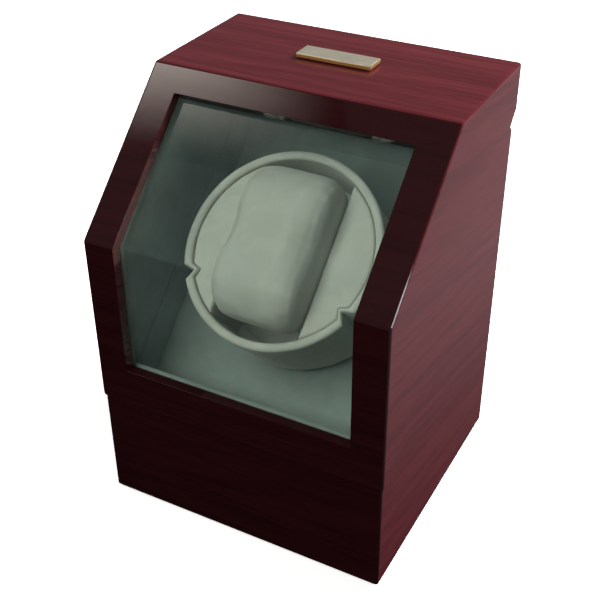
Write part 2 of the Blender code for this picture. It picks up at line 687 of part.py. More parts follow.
def make_leaf(name, x, inner_y, side, knuckles, parent=None):
    """One leaf: a plate above (1) or below (-1) the axis, with its knuckles on the barrel's line."""
    axis_y, axis_z = HINGE_AXIS.y, HINGE_AXIS.z
    near = axis_z + side * (BARREL_RADIUS + FIT_GAP)
    low, high = sorted((near, axis_z + side * HINGE_LEAF))
    half = HINGE_WIDTH / 2
    outer_y = inner_y + HINGE_PLATE
    plate = box_mesh(name, (x - half, inner_y, low), (x + half, outer_y, high))
    leaf = place(plate, name, BRASS, parent=parent)
    for index, (start, end) in enumerate(knuckles):
        inside = (HINGE_PIN_RADIUS + BARREL_RADIUS) / 2
        low, high = sorted((axis_z + side * inside, near + side * HINGE_PLATE))
        stem = box_mesh("stem", (x + start, inner_y, low), (x + end, outer_y, high))
        unite(leaf, place(stem, f"{name}_stem_{index}"))
        barrel = rod_mesh("barrel", BARREL_RADIUS, start, end, 24)
        unite(leaf, place(barrel, f"{name}_barrel_{index}", matrix=along_x(x, axis_y, axis_z)))
    bore = rod_mesh("bore", HINGE_PIN_RADIUS + RUNNING_CLEARANCE, -HINGE_WIDTH, HINGE_WIDTH, 16)
    cut(leaf, place(bore, f"{name}_bore", matrix=along_x(x, axis_y, axis_z)))
    return leaf


def make_hinges(hinge):
    half, third = HINGE_WIDTH / 2, HINGE_WIDTH / 6
    for side, x in hinge_places():
        outer = [(-half, -third - KNUCKLE_GAP), (third + KNUCKLE_GAP, half)]
        make_leaf(f"hinge_base_leaf_{side}", x, base_leaf_y(), -1, outer)
        make_leaf(f"hinge_lid_leaf_{side}", x, lid_leaf_y(), 1, [(-third, third)], hinge)
        pin = rod_mesh("pin", HINGE_PIN_RADIUS, KNUCKLE_GAP - half, half - KNUCKLE_GAP, 16)
        place(pin, f"hinge_pin_{side}", STEEL, along_x(x, HINGE_AXIS.y, HINGE_AXIS.z))


# ---- inside the base -----------------------------------------------------------------------------
def make_partition():
    front, back = -LINING_Y, LINING_Y
    outline = [
        (front, plane_z(PARTITION_BACK_H, front)), (back, plane_z(PARTITION_BACK_H, back)),
        (back, plane_z(PARTITION_FRONT_H, back)), (front, plane_z(PARTITION_FRONT_H, front)),
    ]
    panel = across_case("partition_panel", outline, -LINING_X, LINING_X, SUEDE)
    ends = (PARTITION_BACK_H - OVERRUN, PARTITION_FRONT_H + OVERRUN)
    hole = rod_mesh("bushing_hole", BUSHING_RADIUS + FIT_GAP, *ends, 32)
    cut(panel, place(hole, "bushing_hole", matrix=drum_matrix()))

    middle = DRUM_CENTRE.y + DRUM_AXIS.y * PARTITION_BACK_H
    low = (-INNER_Y - middle) / DRUM_UP.y + CLEAT_END_INSET
    high = (INNER_Y - middle) / DRUM_UP.y - CLEAT_END_INSET
    top = PARTITION_BACK_H - FIT_GAP
    for side, left in (("left", -LINING_X), ("right", LINING_X - CLEAT_SIZE)):
        strip = box_mesh("cleat", (left, low, top - CLEAT_SIZE), (left + CLEAT_SIZE, high, top))
        place(strip, f"partition_cleat_{side}", BARE_BOARD, drum_matrix())


def make_base_linings():
    def floor(y):
        return plane_z(PARTITION_FRONT_H + FIT_GAP, y)

    def ceiling(y):
        return seam_z(y) - SEAM_GAP - LINING_STANDOFF

    def band(front, back):
        return [
            (front, floor(front)), (back, floor(back)), (back, ceiling(back)), (front, ceiling(front)),
        ]

    across_case("base_left_lining", band(-LINING_Y, LINING_Y), -LINING_X, -LINING_X + LINING, SUEDE)
    across_case("base_right_lining", band(-LINING_Y, LINING_Y), LINING_X - LINING, LINING_X, SUEDE)
    reach = LINING_X - LINING - FIT_GAP
    across_case("base_front_lining", band(-LINING_Y, -LINING_Y + LINING), -reach, reach, SUEDE)
    across_case("base_back_lining", band(LINING_Y - LINING, LINING_Y), -reach, reach, SUEDE)


# ---- drum and pillow -----------------------------------------------------------------------------
def notch_outline(angle, depth, half_width, outside):
    """A V pointing at the drum's centre, drawn on past its wall."""
    turn = math.radians(angle)
    outward = Vector((math.cos(turn), math.sin(turn)))
    sideways = Vector((-outward.y, outward.x))
    tip = outward * (DRUM_RADIUS - depth)
    mouth = outward * (DRUM_RADIUS + outside)
    spread = sideways * half_width * (depth + outside) / depth
    return [tip, mouth - spread, mouth + spread]


def notch_prism(name, angle, depth, half_width, low, high, outside):
    mesh = outline_mesh(name, notch_outline(angle, depth, half_width, outside), high - low)
    return place(mesh, name, matrix=drum_matrix(height=(low + high) / 2))


def drum_profile():
    base_radius = DRUM_RADIUS - DRUM_TAPER
    bore = SHAFT_STUD_RADIUS + FIT_GAP
    corner = DRUM_FLOOR_ROUND
    rim = DRUM_RIM_ROUND
    outer_rim = arc((DRUM_RADIUS - rim, -rim), rim, 90, 0, 3)
    inner_rim = arc((DRUM_INNER + rim, -rim), rim, 180, 90, 3)
    heel = arc((base_radius - corner, -DRUM_DEPTH + corner), corner, 0, -90, 4)
    floor = -DRUM_DEPTH + DRUM_FLOOR
    inner_heel = arc((DRUM_INNER - DRUM_WALL, floor + DRUM_WALL), DRUM_WALL, -90, 0, 3)
    return [*outer_rim, *heel, (bore, -DRUM_DEPTH), (bore, floor), *inner_heel, *inner_rim]


def notch_rib(extra=0.0):
    """Depth and half width of the rib that stands inside the drum behind a notch."""
    depth = NOTCH_DEPTH + DRUM_WALL * 0.75 + extra
    return depth, NOTCH_HALF_WIDTH * depth / NOTCH_DEPTH


def make_drum():
    cup = turned("drum_cup", drum_profile(), CREAM, drum_matrix(), steps=72)
    floor = -DRUM_DEPTH + DRUM_FLOOR
    rib_foot, rib_top = floor - DRUM_FLOOR / 3, -0.4 * DRUM_RIM_ROUND
    for index, angle in enumerate(NOTCH_ANGLES, 1):
        name = f"notch_rib_{index}"
        unite(cup, notch_prism(name, angle, *notch_rib(), rib_foot, rib_top, -DRUM_WALL * 0.4))
        name = f"notch_cut_{index}"
        size = (NOTCH_DEPTH, NOTCH_HALF_WIDTH)
        cut(cup, notch_prism(name, angle, *size, floor + 2 * MM, OVERRUN, NOTCH_HALF_WIDTH))


def insert_outline(inset):
    """A D-shaped segment on the +X side of the pocket, drawn smaller by an inset."""
    chord = SLOT_HALF_WIDTH + inset
    radius = DRUM_INNER - FIT_GAP - inset
    reach = math.degrees(math.acos(chord / radius))
    return arc((0, 0), radius, -reach, reach, 20)


def make_inserts():
    top = -INSERT_SINK
    foot = -DRUM_DEPTH + DRUM_FLOOR + DRUM_WALL + FIT_GAP
    for side, mirror in (("left", -1), ("right", 1)):
        flip = Matrix.Diagonal((mirror, 1, 1, 1))
        outer = outline_mesh("insert", insert_outline(0), top - foot)
        inner = outline_mesh("insert_hollow", insert_outline(INSERT_WALL), top - foot)
        for mesh in (outer, inner):
            mesh.transform(flip)
            if mirror < 0:
                mesh.flip_normals()
        middle = (top + foot) / 2
        insert = place(outer, f"drum_insert_{side}", CREAM, drum_matrix(height=middle))
        hollow = place(inner, f"insert_hollow_{side}", matrix=drum_matrix(height=middle - INSERT_WALL))
        cut(insert, hollow)
        angle = NOTCH_ANGLES[0] if mirror < 0 else NOTCH_ANGLES[1]
        size = notch_rib(2 * FIT_GAP)
        notch = notch_prism(f"insert_notch_{side}", angle, *size, foot - OVERRUN, OVERRUN, 0)
        cut(insert, notch)


def make_pillow():
    """An oval roll on a plastic cradle that stands on the drum's floor."""
    half_length = DRUM_INNER - PILLOW_END_GAP
    half_height = (PILLOW_CROWN + PILLOW_BELOW) / 2
    middle = (PILLOW_CROWN - PILLOW_BELOW) / 2
    outline = []
    steps = 28
    for i in range(steps):
        turn = 2 * math.pi * i / steps
        along, up = math.cos(turn), math.sin(turn)
        outline.append((
            half_length * math.copysign(abs(along) ** PILLOW_FULLNESS, along),
            middle + half_height * math.copysign(abs(up) ** PILLOW_FULLNESS, up),
        ))
    width = 2 * (SLOT_HALF_WIDTH - FIT_GAP)
    # the outline's X lies up the rim plane and its Y along the drum's axis
    cushion = outline_mesh("pillow_cushion", outline, width)
    pillow = place(cushion, "pillow_cushion", CREAM, drum_matrix() @ ACROSS)
    round_edges(pillow, PILLOW_ROUND, 3, 50)

    outer = SLOT_HALF_WIDTH - FIT_GAP
    top = -PILLOW_BELOW - FIT_GAP
    foot = -DRUM_DEPTH + DRUM_FLOOR + FIT_GAP
    inner = outer - CRADLE_THICKNESS
    under = top - CRADLE_THICKNESS
    bridge = [
        (-outer, foot), (-inner, foot), (-inner, under), (inner, under),
        (inner, foot), (outer, foot), (outer, top), (-outer, top),
    ]
    cradle = outline_mesh("pillow_cradle", bridge, 2 * (half_length - CRADLE_END_INSET))
    upright = Matrix.Rotation(math.radians(90), 4, "X")
    place(cradle, "pillow_cradle", WHITE_PLASTIC, drum_matrix() @ upright)


# ---- drive ---------------------------------------------------------------------------------------
def pulley_profile(groove_radius, bore):
    rim = groove_radius + GROOVE_DEPTH
    half = PULLEY_HALF_WIDTH
    mouth, bed = GROOVE_MOUTH, GROOVE_BED
    return [
        (rim, half), (rim, mouth), (groove_radius, bed), (groove_radius, -bed), (rim, -mouth),
        (rim, -half), (bore, -half), (bore, half),
    ]


def make_drive():
    stud = SHAFT_STUD_RADIUS
    stud_top = -DRUM_DEPTH + DRUM_FLOOR + NUT_HEIGHT + 1 * MM
    shoulder = -DRUM_DEPTH - FIT_GAP
    shaft = [
        (0, stud_top), (stud, stud_top), (stud, shoulder), (SHAFT_RADIUS, shoulder),
        (SHAFT_RADIUS, SHAFT_END_H), (0, SHAFT_END_H),
    ]
    turned("drum_shaft", shaft, STEEL, drum_matrix(), steps=32, closed=False)

    bore = SHAFT_RADIUS + RUNNING_CLEARANCE
    flange_back = PARTITION_FRONT_H + FIT_GAP
    flange_front = flange_back + BUSHING_FLANGE
    flange = BUSHING_FLANGE_RADIUS
    bushing = [
        (flange, flange_front), (flange, flange_back), (BUSHING_RADIUS, flange_back),
        (BUSHING_RADIUS, BUSHING_END_H), (bore, BUSHING_END_H), (bore, flange_front),
    ]
    turned("shaft_bushing", bushing, WHITE_PLASTIC, drum_matrix(), steps=32)

    nut_low = -DRUM_DEPTH + DRUM_FLOOR + FIT_GAP
    nut = rod_mesh("drum_nut", NUT_RADIUS, nut_low, nut_low + NUT_HEIGHT, 6)
    nut = place(nut, "drum_nut", STEEL, drum_matrix())
    ends = (nut_low - OVERRUN, nut_low + NUT_HEIGHT + OVERRUN)
    thread = rod_mesh("nut_thread", stud + RUNNING_CLEARANCE, *ends, 32)
    cut(nut, place(thread, "nut_thread", matrix=drum_matrix()))

    profile = pulley_profile(PULLEY_GROOVE_RADIUS, bore)
    turned("drum_pulley", profile, WHITE_PLASTIC, drum_matrix(height=PULLEY_H), steps=48)
    make_motor()
    make_belt()
    make_bracket()


def make_motor():
    """The geared motor on its own axis below the drum's, with the small pulley."""
    axis = drum_matrix(up=-MOTOR_OFFSET)
    bore = MOTOR_SHAFT_RADIUS + RUNNING_CLEARANCE
    profile = pulley_profile(MOTOR_GROOVE_RADIUS, bore)
    spot = drum_matrix(up=-MOTOR_OFFSET, height=PULLEY_H)
    turned("motor_pulley", profile, WHITE_PLASTIC, spot, steps=32)
    low, high = GEARBOX_TOP_H - MOTOR_SHAFT_SEAT, PULLEY_H + PULLEY_HALF_WIDTH + 1 * MM
    shaft = rod_mesh("motor_shaft", MOTOR_SHAFT_RADIUS, low, high, 32)
    place(shaft, "motor_shaft", STEEL, axis)

    gearbox = rod_mesh("gearbox", GEARBOX_RADIUS, GEARBOX_END_H, GEARBOX_TOP_H, 40)
    gearbox = place(gearbox, "gearbox", STEEL, axis)
    seat = rod_mesh("gearbox_bore", bore, low - FIT_GAP, GEARBOX_TOP_H + OVERRUN, 32)
    cut(gearbox, place(seat, "gearbox_bore", matrix=axis))
    edge, boss = 1 * MM, MOTOR_BOSS_RADIUS
    shell = MOTOR_BOSS_HEIGHT - MOTOR_LENGTH
    can = [
        (0, 0), (MOTOR_RADIUS - edge, 0), (MOTOR_RADIUS, -edge), (MOTOR_RADIUS, shell + edge),
        (MOTOR_RADIUS - edge, shell), (boss, shell), (boss, -MOTOR_LENGTH), (0, -MOTOR_LENGTH),
    ]
    spot = drum_matrix(up=-MOTOR_OFFSET, height=MOTOR_TOP_H)
    turned("motor_can", can, STEEL, spot, steps=40, closed=False)


def make_belt():
    """A round belt about both pulleys: two arcs and the straight runs between them."""
    lean = math.degrees(math.asin((BELT_REACH - MOTOR_BELT_REACH) / MOTOR_OFFSET))
    route = arc((0, 0), BELT_REACH, -lean, 180 + lean, 28)
    route += arc((0, -MOTOR_OFFSET), MOTOR_BELT_REACH, 180 + lean, 360 - lean, 10)
    curve = bpy.data.curves.new("drive_belt", "CURVE")
    curve.dimensions = "3D"
    curve.bevel_depth = BELT_RADIUS
    curve.bevel_resolution = 1
    spline = curve.splines.new("POLY")
    spline.points.add(len(route) - 1)
    for slot, point in zip(spline.points, route):
        slot.co = (point[0], point[1], 0, 1)
    spline.use_cyclic_u = True
    place(solid_from_curve(curve, "drive_belt"), "drive_belt", RUBBER, drum_matrix(height=PULLEY_H))


def make_bracket():
    low, high = -MOTOR_OFFSET - BRACKET_END, BRACKET_TOP
    wide = BRACKET_HALF_WIDTH
    plate = box_mesh("motor_bracket", (-wide, low, BRACKET_BACK_H), (wide, high, BRACKET_TOP_H))
    plate = place(plate, "motor_bracket", STEEL, drum_matrix())
    ends = (BRACKET_BACK_H - OVERRUN, BRACKET_TOP_H + OVERRUN)
    hole = rod_mesh("bracket_hole", BRACKET_HOLE_RADIUS, *ends, 24)
    cut(plate, place(hole, "bracket_hole", matrix=drum_matrix(up=-MOTOR_OFFSET)))
    spots = [
        (side * (wide - STANDOFF_INSET), up)
        for up in (low + STANDOFF_INSET, high - STANDOFF_INSET) for side in (-1, 1)
    ]
    ends = (BRACKET_TOP_H + FIT_GAP, PARTITION_BACK_H - FIT_GAP)
    for index, (x, up) in enumerate(spots, 1):
        post = rod_mesh("standoff", STANDOFF_RADIUS, *ends, 16)
        place(post, f"standoff_{index}", BRASS, drum_matrix(x, up))


# ---- controls ------------------------------------------------------------------------------------
def control_matrix(x):
    """A place on the control plate's outer face, local Z pointing out of the back of the case."""
    turn = Matrix(((-1, 0, 0), (0, 0, 1), (0, 1, 0))).to_4x4()
    return Matrix.Translation((CONTROL_X + x, CONTROL_FACE_Y, CONTROL_Z)) @ turn


def make_controls():
    half_wide = CONTROL_WIDTH / 2 + CONTROL_LAP
    half_high = CONTROL_HEIGHT / 2 + CONTROL_LAP
    plate = box_mesh(
        "control_plate",
        (CONTROL_X - half_wide, CONTROL_BACK_Y, CONTROL_Z - half_high),
        (CONTROL_X + half_wide, CONTROL_FACE_Y, CONTROL_Z + half_high),
    )
    plate = place(plate, "control_plate", BLACK_PLASTIC)
    ends = (-CONTROL_PLATE - OVERRUN, OVERRUN)
    knob_hole = rod_mesh("knob_hole", KNOB_STEM_RADIUS + 3 * FIT_GAP, *ends, 24)
    cut(plate, place(knob_hole, "knob_hole", matrix=control_matrix(KNOB_X)))
    jack_hole = rod_mesh("jack_hole", JACK_RADIUS + FIT_GAP, *ends, 32)
    cut(plate, place(jack_hole, "jack_hole", matrix=control_matrix(JACK_X)))
    switch_x = CONTROL_X + SWITCH_X
    half_w, half_h = SWITCH_WIDTH / 2 + FIT_GAP, SWITCH_HEIGHT / 2 + FIT_GAP
    switch_hole = box_mesh(
        "switch_hole",
        (switch_x - half_w, CONTROL_BACK_Y - OVERRUN, CONTROL_Z - half_h),
        (switch_x + half_w, CONTROL_FACE_Y + OVERRUN, CONTROL_Z + half_h),
    )
    cut(plate, place(switch_hole, "switch_hole"))
    make_knob()
    make_switch(switch_x)
    make_jack()

    board = box_mesh(
        "control_board",
        (CONTROL_X - CONTROL_WIDTH / 2, BOARD_FRONT_Y - BOARD_THICKNESS, CONTROL_Z - BOARD_HEIGHT / 2),
        (CONTROL_X + CONTROL_WIDTH / 2, BOARD_FRONT_Y, CONTROL_Z + BOARD_HEIGHT / 2),
    )
    place(board, "control_board", BOARD_GREEN)


def make_knob():
    spot = control_matrix(KNOB_X)
    low = FIT_GAP
    top = low + KNOB_LENGTH
    stem_end = -CONTROL_PLATE - KNOB_STEM_REACH
    shoulder, chamfer = KNOB_RADIUS - 0.4 * MM, 0.6 * MM
    profile = [
        (0, top), (shoulder - chamfer, top), (shoulder, top - chamfer), (KNOB_RADIUS, low),
        (KNOB_STEM_RADIUS, low), (KNOB_STEM_RADIUS, stem_end), (0, stem_end),
    ]
    knob = turned("mode_knob", profile, BLACK_PLASTIC, spot, steps=32, closed=False)
    half, start, floor = KNOB_MARK_WIDTH / 2, KNOB_STEM_RADIUS, top - KNOB_MARK_DEPTH
    mark = box_mesh("knob_mark", (-half, start, floor), (half, KNOB_RADIUS + OVERRUN, top + OVERRUN))
    cut(knob, place(mark, "knob_mark", matrix=spot))

    half = SELECTOR_SIZE / 2
    front = CONTROL_BACK_Y - FIT_GAP
    x = CONTROL_X + KNOB_X
    selector = box_mesh(
        "mode_selector",
        (x - half, front - SELECTOR_DEPTH, CONTROL_Z - half), (x + half, front, CONTROL_Z + half),
    )
    selector = place(selector, "mode_selector", BLACK_PLASTIC)
    socket = rod_mesh("selector_socket", KNOB_STEM_RADIUS + RUNNING_CLEARANCE, stem_end - FIT_GAP, 0, 32)
    cut(selector, place(socket, "selector_socket", matrix=spot))


def make_switch(x):
    half_w, half_h = SWITCH_WIDTH / 2, SWITCH_HEIGHT / 2
    face = CONTROL_FACE_Y + FIT_GAP
    outside = face + SWITCH_FLANGE
    end = face - SWITCH_DEPTH

    def block(name, grow, low, high):
        wide, tall = half_w + grow, half_h + grow
        return box_mesh(name, (x - wide, low, CONTROL_Z - tall), (x + wide, high, CONTROL_Z + tall))

    name = "power_switch_body"
    body = place(block(name, 0, end, outside), name, BLACK_PLASTIC)
    flange = block("switch_flange", SWITCH_FLANGE, face, outside)
    unite(body, place(flange, "switch_flange"))
    well = block("switch_well", -SWITCH_WALL, end - OVERRUN, outside + OVERRUN)
    cut(body, place(well, "switch_well"))

    # the rocker is drawn about its pivot, then tilted to its off side
    reach = half_h - SWITCH_WALL - ROCKER_END_GAP
    under, over, waist = -2.0 * MM, 2.2 * MM, 1.4 * MM
    outline = [(under, -reach / 2), (over, -reach), (waist, 0), (over, reach), (under, reach / 2)]
    rocker = outline_mesh("power_rocker", outline, 2 * (half_w - SWITCH_WALL - FIT_GAP))
    pivot = Matrix.Translation((x, face - ROCKER_PIVOT_DEPTH, CONTROL_Z))
    tilt = Matrix.Rotation(-ROCKER_TILT, 4, "X")
    place(rocker, "power_rocker", BLACK_PLASTIC, pivot @ tilt @ ACROSS)


def make_jack():
    pin, bore, flange = JACK_PIN_RADIUS, JACK_BORE_RADIUS, JACK_RADIUS + JACK_FLANGE
    face = FIT_GAP
    outside = face + JACK_FLANGE
    back = -CONTROL_PLATE - SELECTOR_DEPTH
    floor = back + JACK_FLOOR
    profile = [
        (0, face), (pin, face), (pin, floor), (bore, floor), (bore, outside), (flange, outside),
        (flange, face), (JACK_RADIUS, face), (JACK_RADIUS, back), (0, back),
    ]
    turned("dc_jack", profile, BLACK_PLASTIC, control_matrix(JACK_X), steps=32, closed=False)


def make_lead():
    """The motor's lead, from the end of the motor to the board."""
    start = drum_matrix(up=-MOTOR_OFFSET, height=MOTOR_TOP_H - MOTOR_LENGTH - FIT_GAP).translation
    back = BOARD_FRONT_Y - BOARD_THICKNESS - FIT_GAP
    board = Vector((CONTROL_X - CONTROL_WIDTH / 4, back, CONTROL_Z - BOARD_HEIGHT * 0.3))
    guides = (start, start - DRUM_AXIS * LEAD_REACH, board - Vector((0, LEAD_REACH, 0)), board)
    steps = 14
    route = []
    for i in range(steps + 1):
        t = i / steps
        weights = ((1 - t) ** 3, 3 * t * (1 - t) ** 2, 3 * t * t * (1 - t), t ** 3)
        spots = (point * weight for point, weight in zip(guides, weights))
        route.append(sum(spots, Vector()))
    curve = bpy.data.curves.new("motor_lead", "CURVE")
    curve.dimensions = "3D"
    curve.bevel_depth = LEAD_RADIUS
    curve.bevel_resolution = 2
    curve.use_fill_caps = True
    spline = curve.splines.new("POLY")
    spline.points.add(steps)
    for slot, point in zip(spline.points, route):
        slot.co = (*point, 1)
    place(solid_from_curve(curve, "motor_lead"), "motor_lead", RUBBER)


# ---- assembly ------------------------------------------------------------------------------------
def hinge_empty():
    axis = bpy.data.objects.new("lid_hinge_axis", None)
    axis.location = HINGE_AXIS
    PARTS.objects.link(axis)
    bpy.context.view_layer.update()
    return axis


def main():
    hinge = hinge_empty()
    make_base()
    make_bottom()
    make_feet()
    make_magnet("base_magnet", -1)
    make_lid(hinge)
    make_pane(hinge)
    make_lid_linings(hinge)
    make_name_plate(hinge)
    make_magnet("lid_magnet", 1, hinge)
    make_hinges(hinge)
    make_partition()
    make_base_linings()
    make_drum()
    make_inserts()
    make_pillow()
    make_drive()
    make_controls()
    make_lead()
    bpy.context.view_layer.update()


main()
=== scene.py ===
import json
import math

import bmesh
import bpy
from mathutils import Matrix, Vector, noise
from mathutils.bvhtree import BVHTree


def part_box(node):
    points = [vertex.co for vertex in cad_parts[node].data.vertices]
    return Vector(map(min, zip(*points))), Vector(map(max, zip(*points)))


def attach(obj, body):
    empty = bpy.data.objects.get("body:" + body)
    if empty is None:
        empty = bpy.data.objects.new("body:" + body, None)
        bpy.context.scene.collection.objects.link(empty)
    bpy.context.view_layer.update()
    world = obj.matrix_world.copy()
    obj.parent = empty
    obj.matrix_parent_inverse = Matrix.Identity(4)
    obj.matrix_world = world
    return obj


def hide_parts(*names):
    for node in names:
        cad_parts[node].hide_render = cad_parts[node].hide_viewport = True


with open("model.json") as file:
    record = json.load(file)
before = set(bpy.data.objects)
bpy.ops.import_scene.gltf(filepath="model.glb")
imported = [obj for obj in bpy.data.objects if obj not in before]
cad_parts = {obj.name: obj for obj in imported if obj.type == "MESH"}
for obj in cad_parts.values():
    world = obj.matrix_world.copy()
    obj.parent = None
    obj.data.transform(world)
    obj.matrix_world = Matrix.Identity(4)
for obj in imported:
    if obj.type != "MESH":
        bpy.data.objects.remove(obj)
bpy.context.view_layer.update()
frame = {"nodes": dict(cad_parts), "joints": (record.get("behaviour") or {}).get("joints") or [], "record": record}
print("frame loaded with", len(frame["nodes"]), "nodes")

mm = 0.001
scene = bpy.context.scene
nodes = frame["nodes"]
record = frame["record"]
joints = {joint["name"]: joint for joint in frame["joints"]}
bodyOf = {node: body for body, members in record["behaviour"]["bodies"].items() for node in members}
slotOf = {row["node"]: row["material_slot"] for row in record["subparts"]}

# the drum's own frame: X across the box, Y up the rim, Z out of the rim along its axis
drumAxis = Vector(joints["drum_spin"]["axis"]).normalized()
drumRight = Vector((1, 0, 0))
drumPlace = Matrix((drumRight, drumAxis.cross(drumRight), drumAxis)).transposed().to_4x4()
drumPlace.translation = Vector(joints["drum_spin"]["pos_m"])


def boxIn(place, node):
    # lowest and highest corner of a frame node, measured in another frame
    inverse = place.inverted()
    spots = [inverse @ vertex.co for vertex in nodes[node].data.vertices]
    low = Vector([min(spot[i] for spot in spots) for i in range(3)])
    high = Vector([max(spot[i] for spot in spots) for i in range(3)])
    return low, high


class Reading:  # one output socket, so that shader maths reads as arithmetic
    def __init__(self, finish, socket):
        self.finish = finish
        self.socket = socket

    def maths(self, operation, first, second):
        return self.finish.maths(operation, first, second)

    def __add__(self, other):
        return self.maths("ADD", self, other)

    def __radd__(self, other):
        return self.maths("ADD", other, self)

    def __sub__(self, other):
        return self.maths("SUBTRACT", self, other)

    def __rsub__(self, other):
        return self.maths("SUBTRACT", other, self)

    def __mul__(self, other):
        return self.maths("MULTIPLY", self, other)

    def __rmul__(self, other):
        return self.maths("MULTIPLY", other, self)

    def __pow__(self, other):
        return self.maths("POWER", self, other)


class Finish:  # one procedural material around a Principled shader
    def __init__(self, name, fixed):
        self.material = bpy.data.materials.new(name)
        self.material.use_nodes = True
        self.tree = self.material.node_tree
        self.shader = self.tree.nodes["Principled BSDF"]
        for label, value in fixed.items():
            self.shader.inputs[label].default_value = value

    def add(self, kind, settings=None, sockets=None, output=0):
        node = self.tree.nodes.new(kind)
        for label, value in (settings or {}).items():
            if label == "stops":
                self.setStops(node.color_ramp.elements, value)
            else:
                setattr(node, label, value)
        for label, value in (sockets or {}).items():
            if isinstance(value, Reading):
                self.tree.links.new(value.socket, node.inputs[label])
            else:
                node.inputs[label].default_value = value
        return Reading(self, node.outputs[output])

    def setStops(self, elements, stops):
        while len(elements) < len(stops):
            elements.new(0.5)
        for element, (position, colour) in zip(elements, stops):
            element.position = position
            element.color = (*colour, 1)

    def maths(self, operation, first, second=0.0):
        return self.add("ShaderNodeMath", {"operation": operation}, {0: first, 1: second})

    def drive(self, label, value):
        self.tree.links.new(value.socket, self.shader.inputs[label])

    def spot(self):
        return self.add("ShaderNodeTexCoord", output="Object")

    def facing(self):
        return self.add("ShaderNodeTexCoord", output="Normal")

    def part(self, vector, axis):
        return self.add("ShaderNodeSeparateXYZ", None, {0: vector}, axis)

    def scaled(self, vector, amounts):
        return self.add("ShaderNodeVectorMath", {"operation": "MULTIPLY"}, {0: vector, 1: amounts})

    def grain(self, vector, scale, detail=3.0, roughness=0.5, distortion=0.0):
        sizes = {"Vector": vector, "Scale": scale, "Detail": detail, "Roughness": roughness}
        sizes["Distortion"] = distortion
        return self.add("ShaderNodeTexNoise", None, sizes)

    def rise(self, value, low, high):
        ends = {"Value": value, "From Min": low, "From Max": high}
        return self.add("ShaderNodeMapRange", {"interpolation_type": "SMOOTHSTEP"}, ends)

    def ramp(self, value, stops):
        return self.add("ShaderNodeValToRGB", {"stops": stops}, {0: value})

    def blend(self, factor, first, second):
        colours = [value if isinstance(value, Reading) else (*value, 1) for value in (first, second)]
        inputs = {0: factor, 6: colours[0], 7: colours[1]}
        return self.add("ShaderNodeMix", {"data_type": "RGBA"}, inputs, 2)

    def bump(self, height, distance, strength=1.0):
        inputs = {"Strength": strength, "Distance": distance, "Height": height}
        self.drive("Normal", self.add("ShaderNodeBump", None, inputs))


cherrySizes = {
    "dark": (0.054, 0.0072, 0.0094),
    "middle": (0.074, 0.0108, 0.0136),
    "light": (0.090, 0.0142, 0.0168),
    "toneStops": (0.30, 0.47, 0.62),  # where the three colours stand along the tone
    "streakShare": 0.62,  # shares of the tone
    "bandShare": 0.07,
    "figureShare": 0.30,
    "streaksPerMetre": 560,
    "stretch": 0.055,  # streak width over its length
    "sideTilt": 0.22,  # slope of the grain on the side walls
    "figureScale": 24,
    "bandsPerFigure": 46,
    "poreTone": (0.60, 0.74),
    "poreShare": 0.35,
    "sideFacing": (0.6, 0.8),
    "frontFacing": (0.35, 0.60),
    "topFacing": (0.9, 0.97),
    "frontShade": 0.27,  # painted shade: the front and the window's sill are darkened to this share of the rest, as if little light reached them
    "sill": (57.0 * mm, 58.5 * mm),  # how far in front of the middle the sill takes that painted shade
    "polish": 0.045,  # roughness between smears
    "worn": 0.13,  # and in the thickest of them
    "smearScale": 22,
    "rippleScale": 70,
    "rippleDepth": 0.04 * mm,
    "streakRelief": 0.08,  # height of a streak over that of a ripple
}


def makeCherry(sizes):
    finish = Finish("cherryLacquer", {"IOR": 1.5})
    spot = finish.spot()
    x, y, z = (finish.part(spot, axis) for axis in range(3))
    side = finish.rise(finish.maths("ABSOLUTE", finish.part(finish.facing(), 0)), *sizes["sideFacing"])
    # grain runs across the box, and along its depth on the two side walls
    across = finish.add("ShaderNodeCombineXYZ", None, {0: x * sizes["stretch"], 1: y, 2: z})
    tilted = z + y * sizes["sideTilt"]
    deep = finish.add("ShaderNodeCombineXYZ", None, {0: x, 1: y * sizes["stretch"], 2: tilted})
    run = finish.add("ShaderNodeMix", {"data_type": "VECTOR"}, {0: side, 4: across, 5: deep}, 1)
    figure = finish.grain(run, sizes["figureScale"], 2.0, 0.45, 1.2)
    bands = finish.maths("SINE", figure * sizes["bandsPerFigure"])
    streaks = finish.grain(run, sizes["streaksPerMetre"], 5.0, 0.62, 0.4)
    pores = finish.grain(run, sizes["streaksPerMetre"] * 5, 2.0, 0.5)
    tone = streaks * sizes["streakShare"] + bands * sizes["bandShare"] + figure * sizes["figureShare"]
    colours = (sizes["dark"], sizes["middle"], sizes["light"])
    wood = finish.ramp(tone, list(zip(sizes["toneStops"], colours)))
    wood = finish.blend(finish.rise(pores, *sizes["poreTone"]) * sizes["poreShare"], wood, sizes["dark"])
    # painted shade on faces turned to the front and on the upward faces of the sill
    front = finish.rise(0 - finish.part(finish.facing(), 1), *sizes["frontFacing"])
    sill = finish.rise(0 - y, *sizes["sill"])
    sill = sill * finish.rise(finish.part(finish.facing(), 2), *sizes["topFacing"])
    front = finish.maths("MAXIMUM", front, sill)
    wood = finish.add("ShaderNodeVectorMath", {"operation": "SCALE"},
                      {0: wood, 3: 1 - front * (1 - sizes["frontShade"])})
    finish.drive("Base Color", wood)
    smears = finish.grain(spot, sizes["smearScale"], 4.0, 0.6)
    finish.drive("Roughness", sizes["polish"] + (sizes["worn"] - sizes["polish"]) * smears ** 2)
    ripple = finish.grain(spot, sizes["rippleScale"], 2.0, 0.5)
    finish.bump(ripple + streaks * sizes["streakRelief"], sizes["rippleDepth"], 0.6)
    return finish


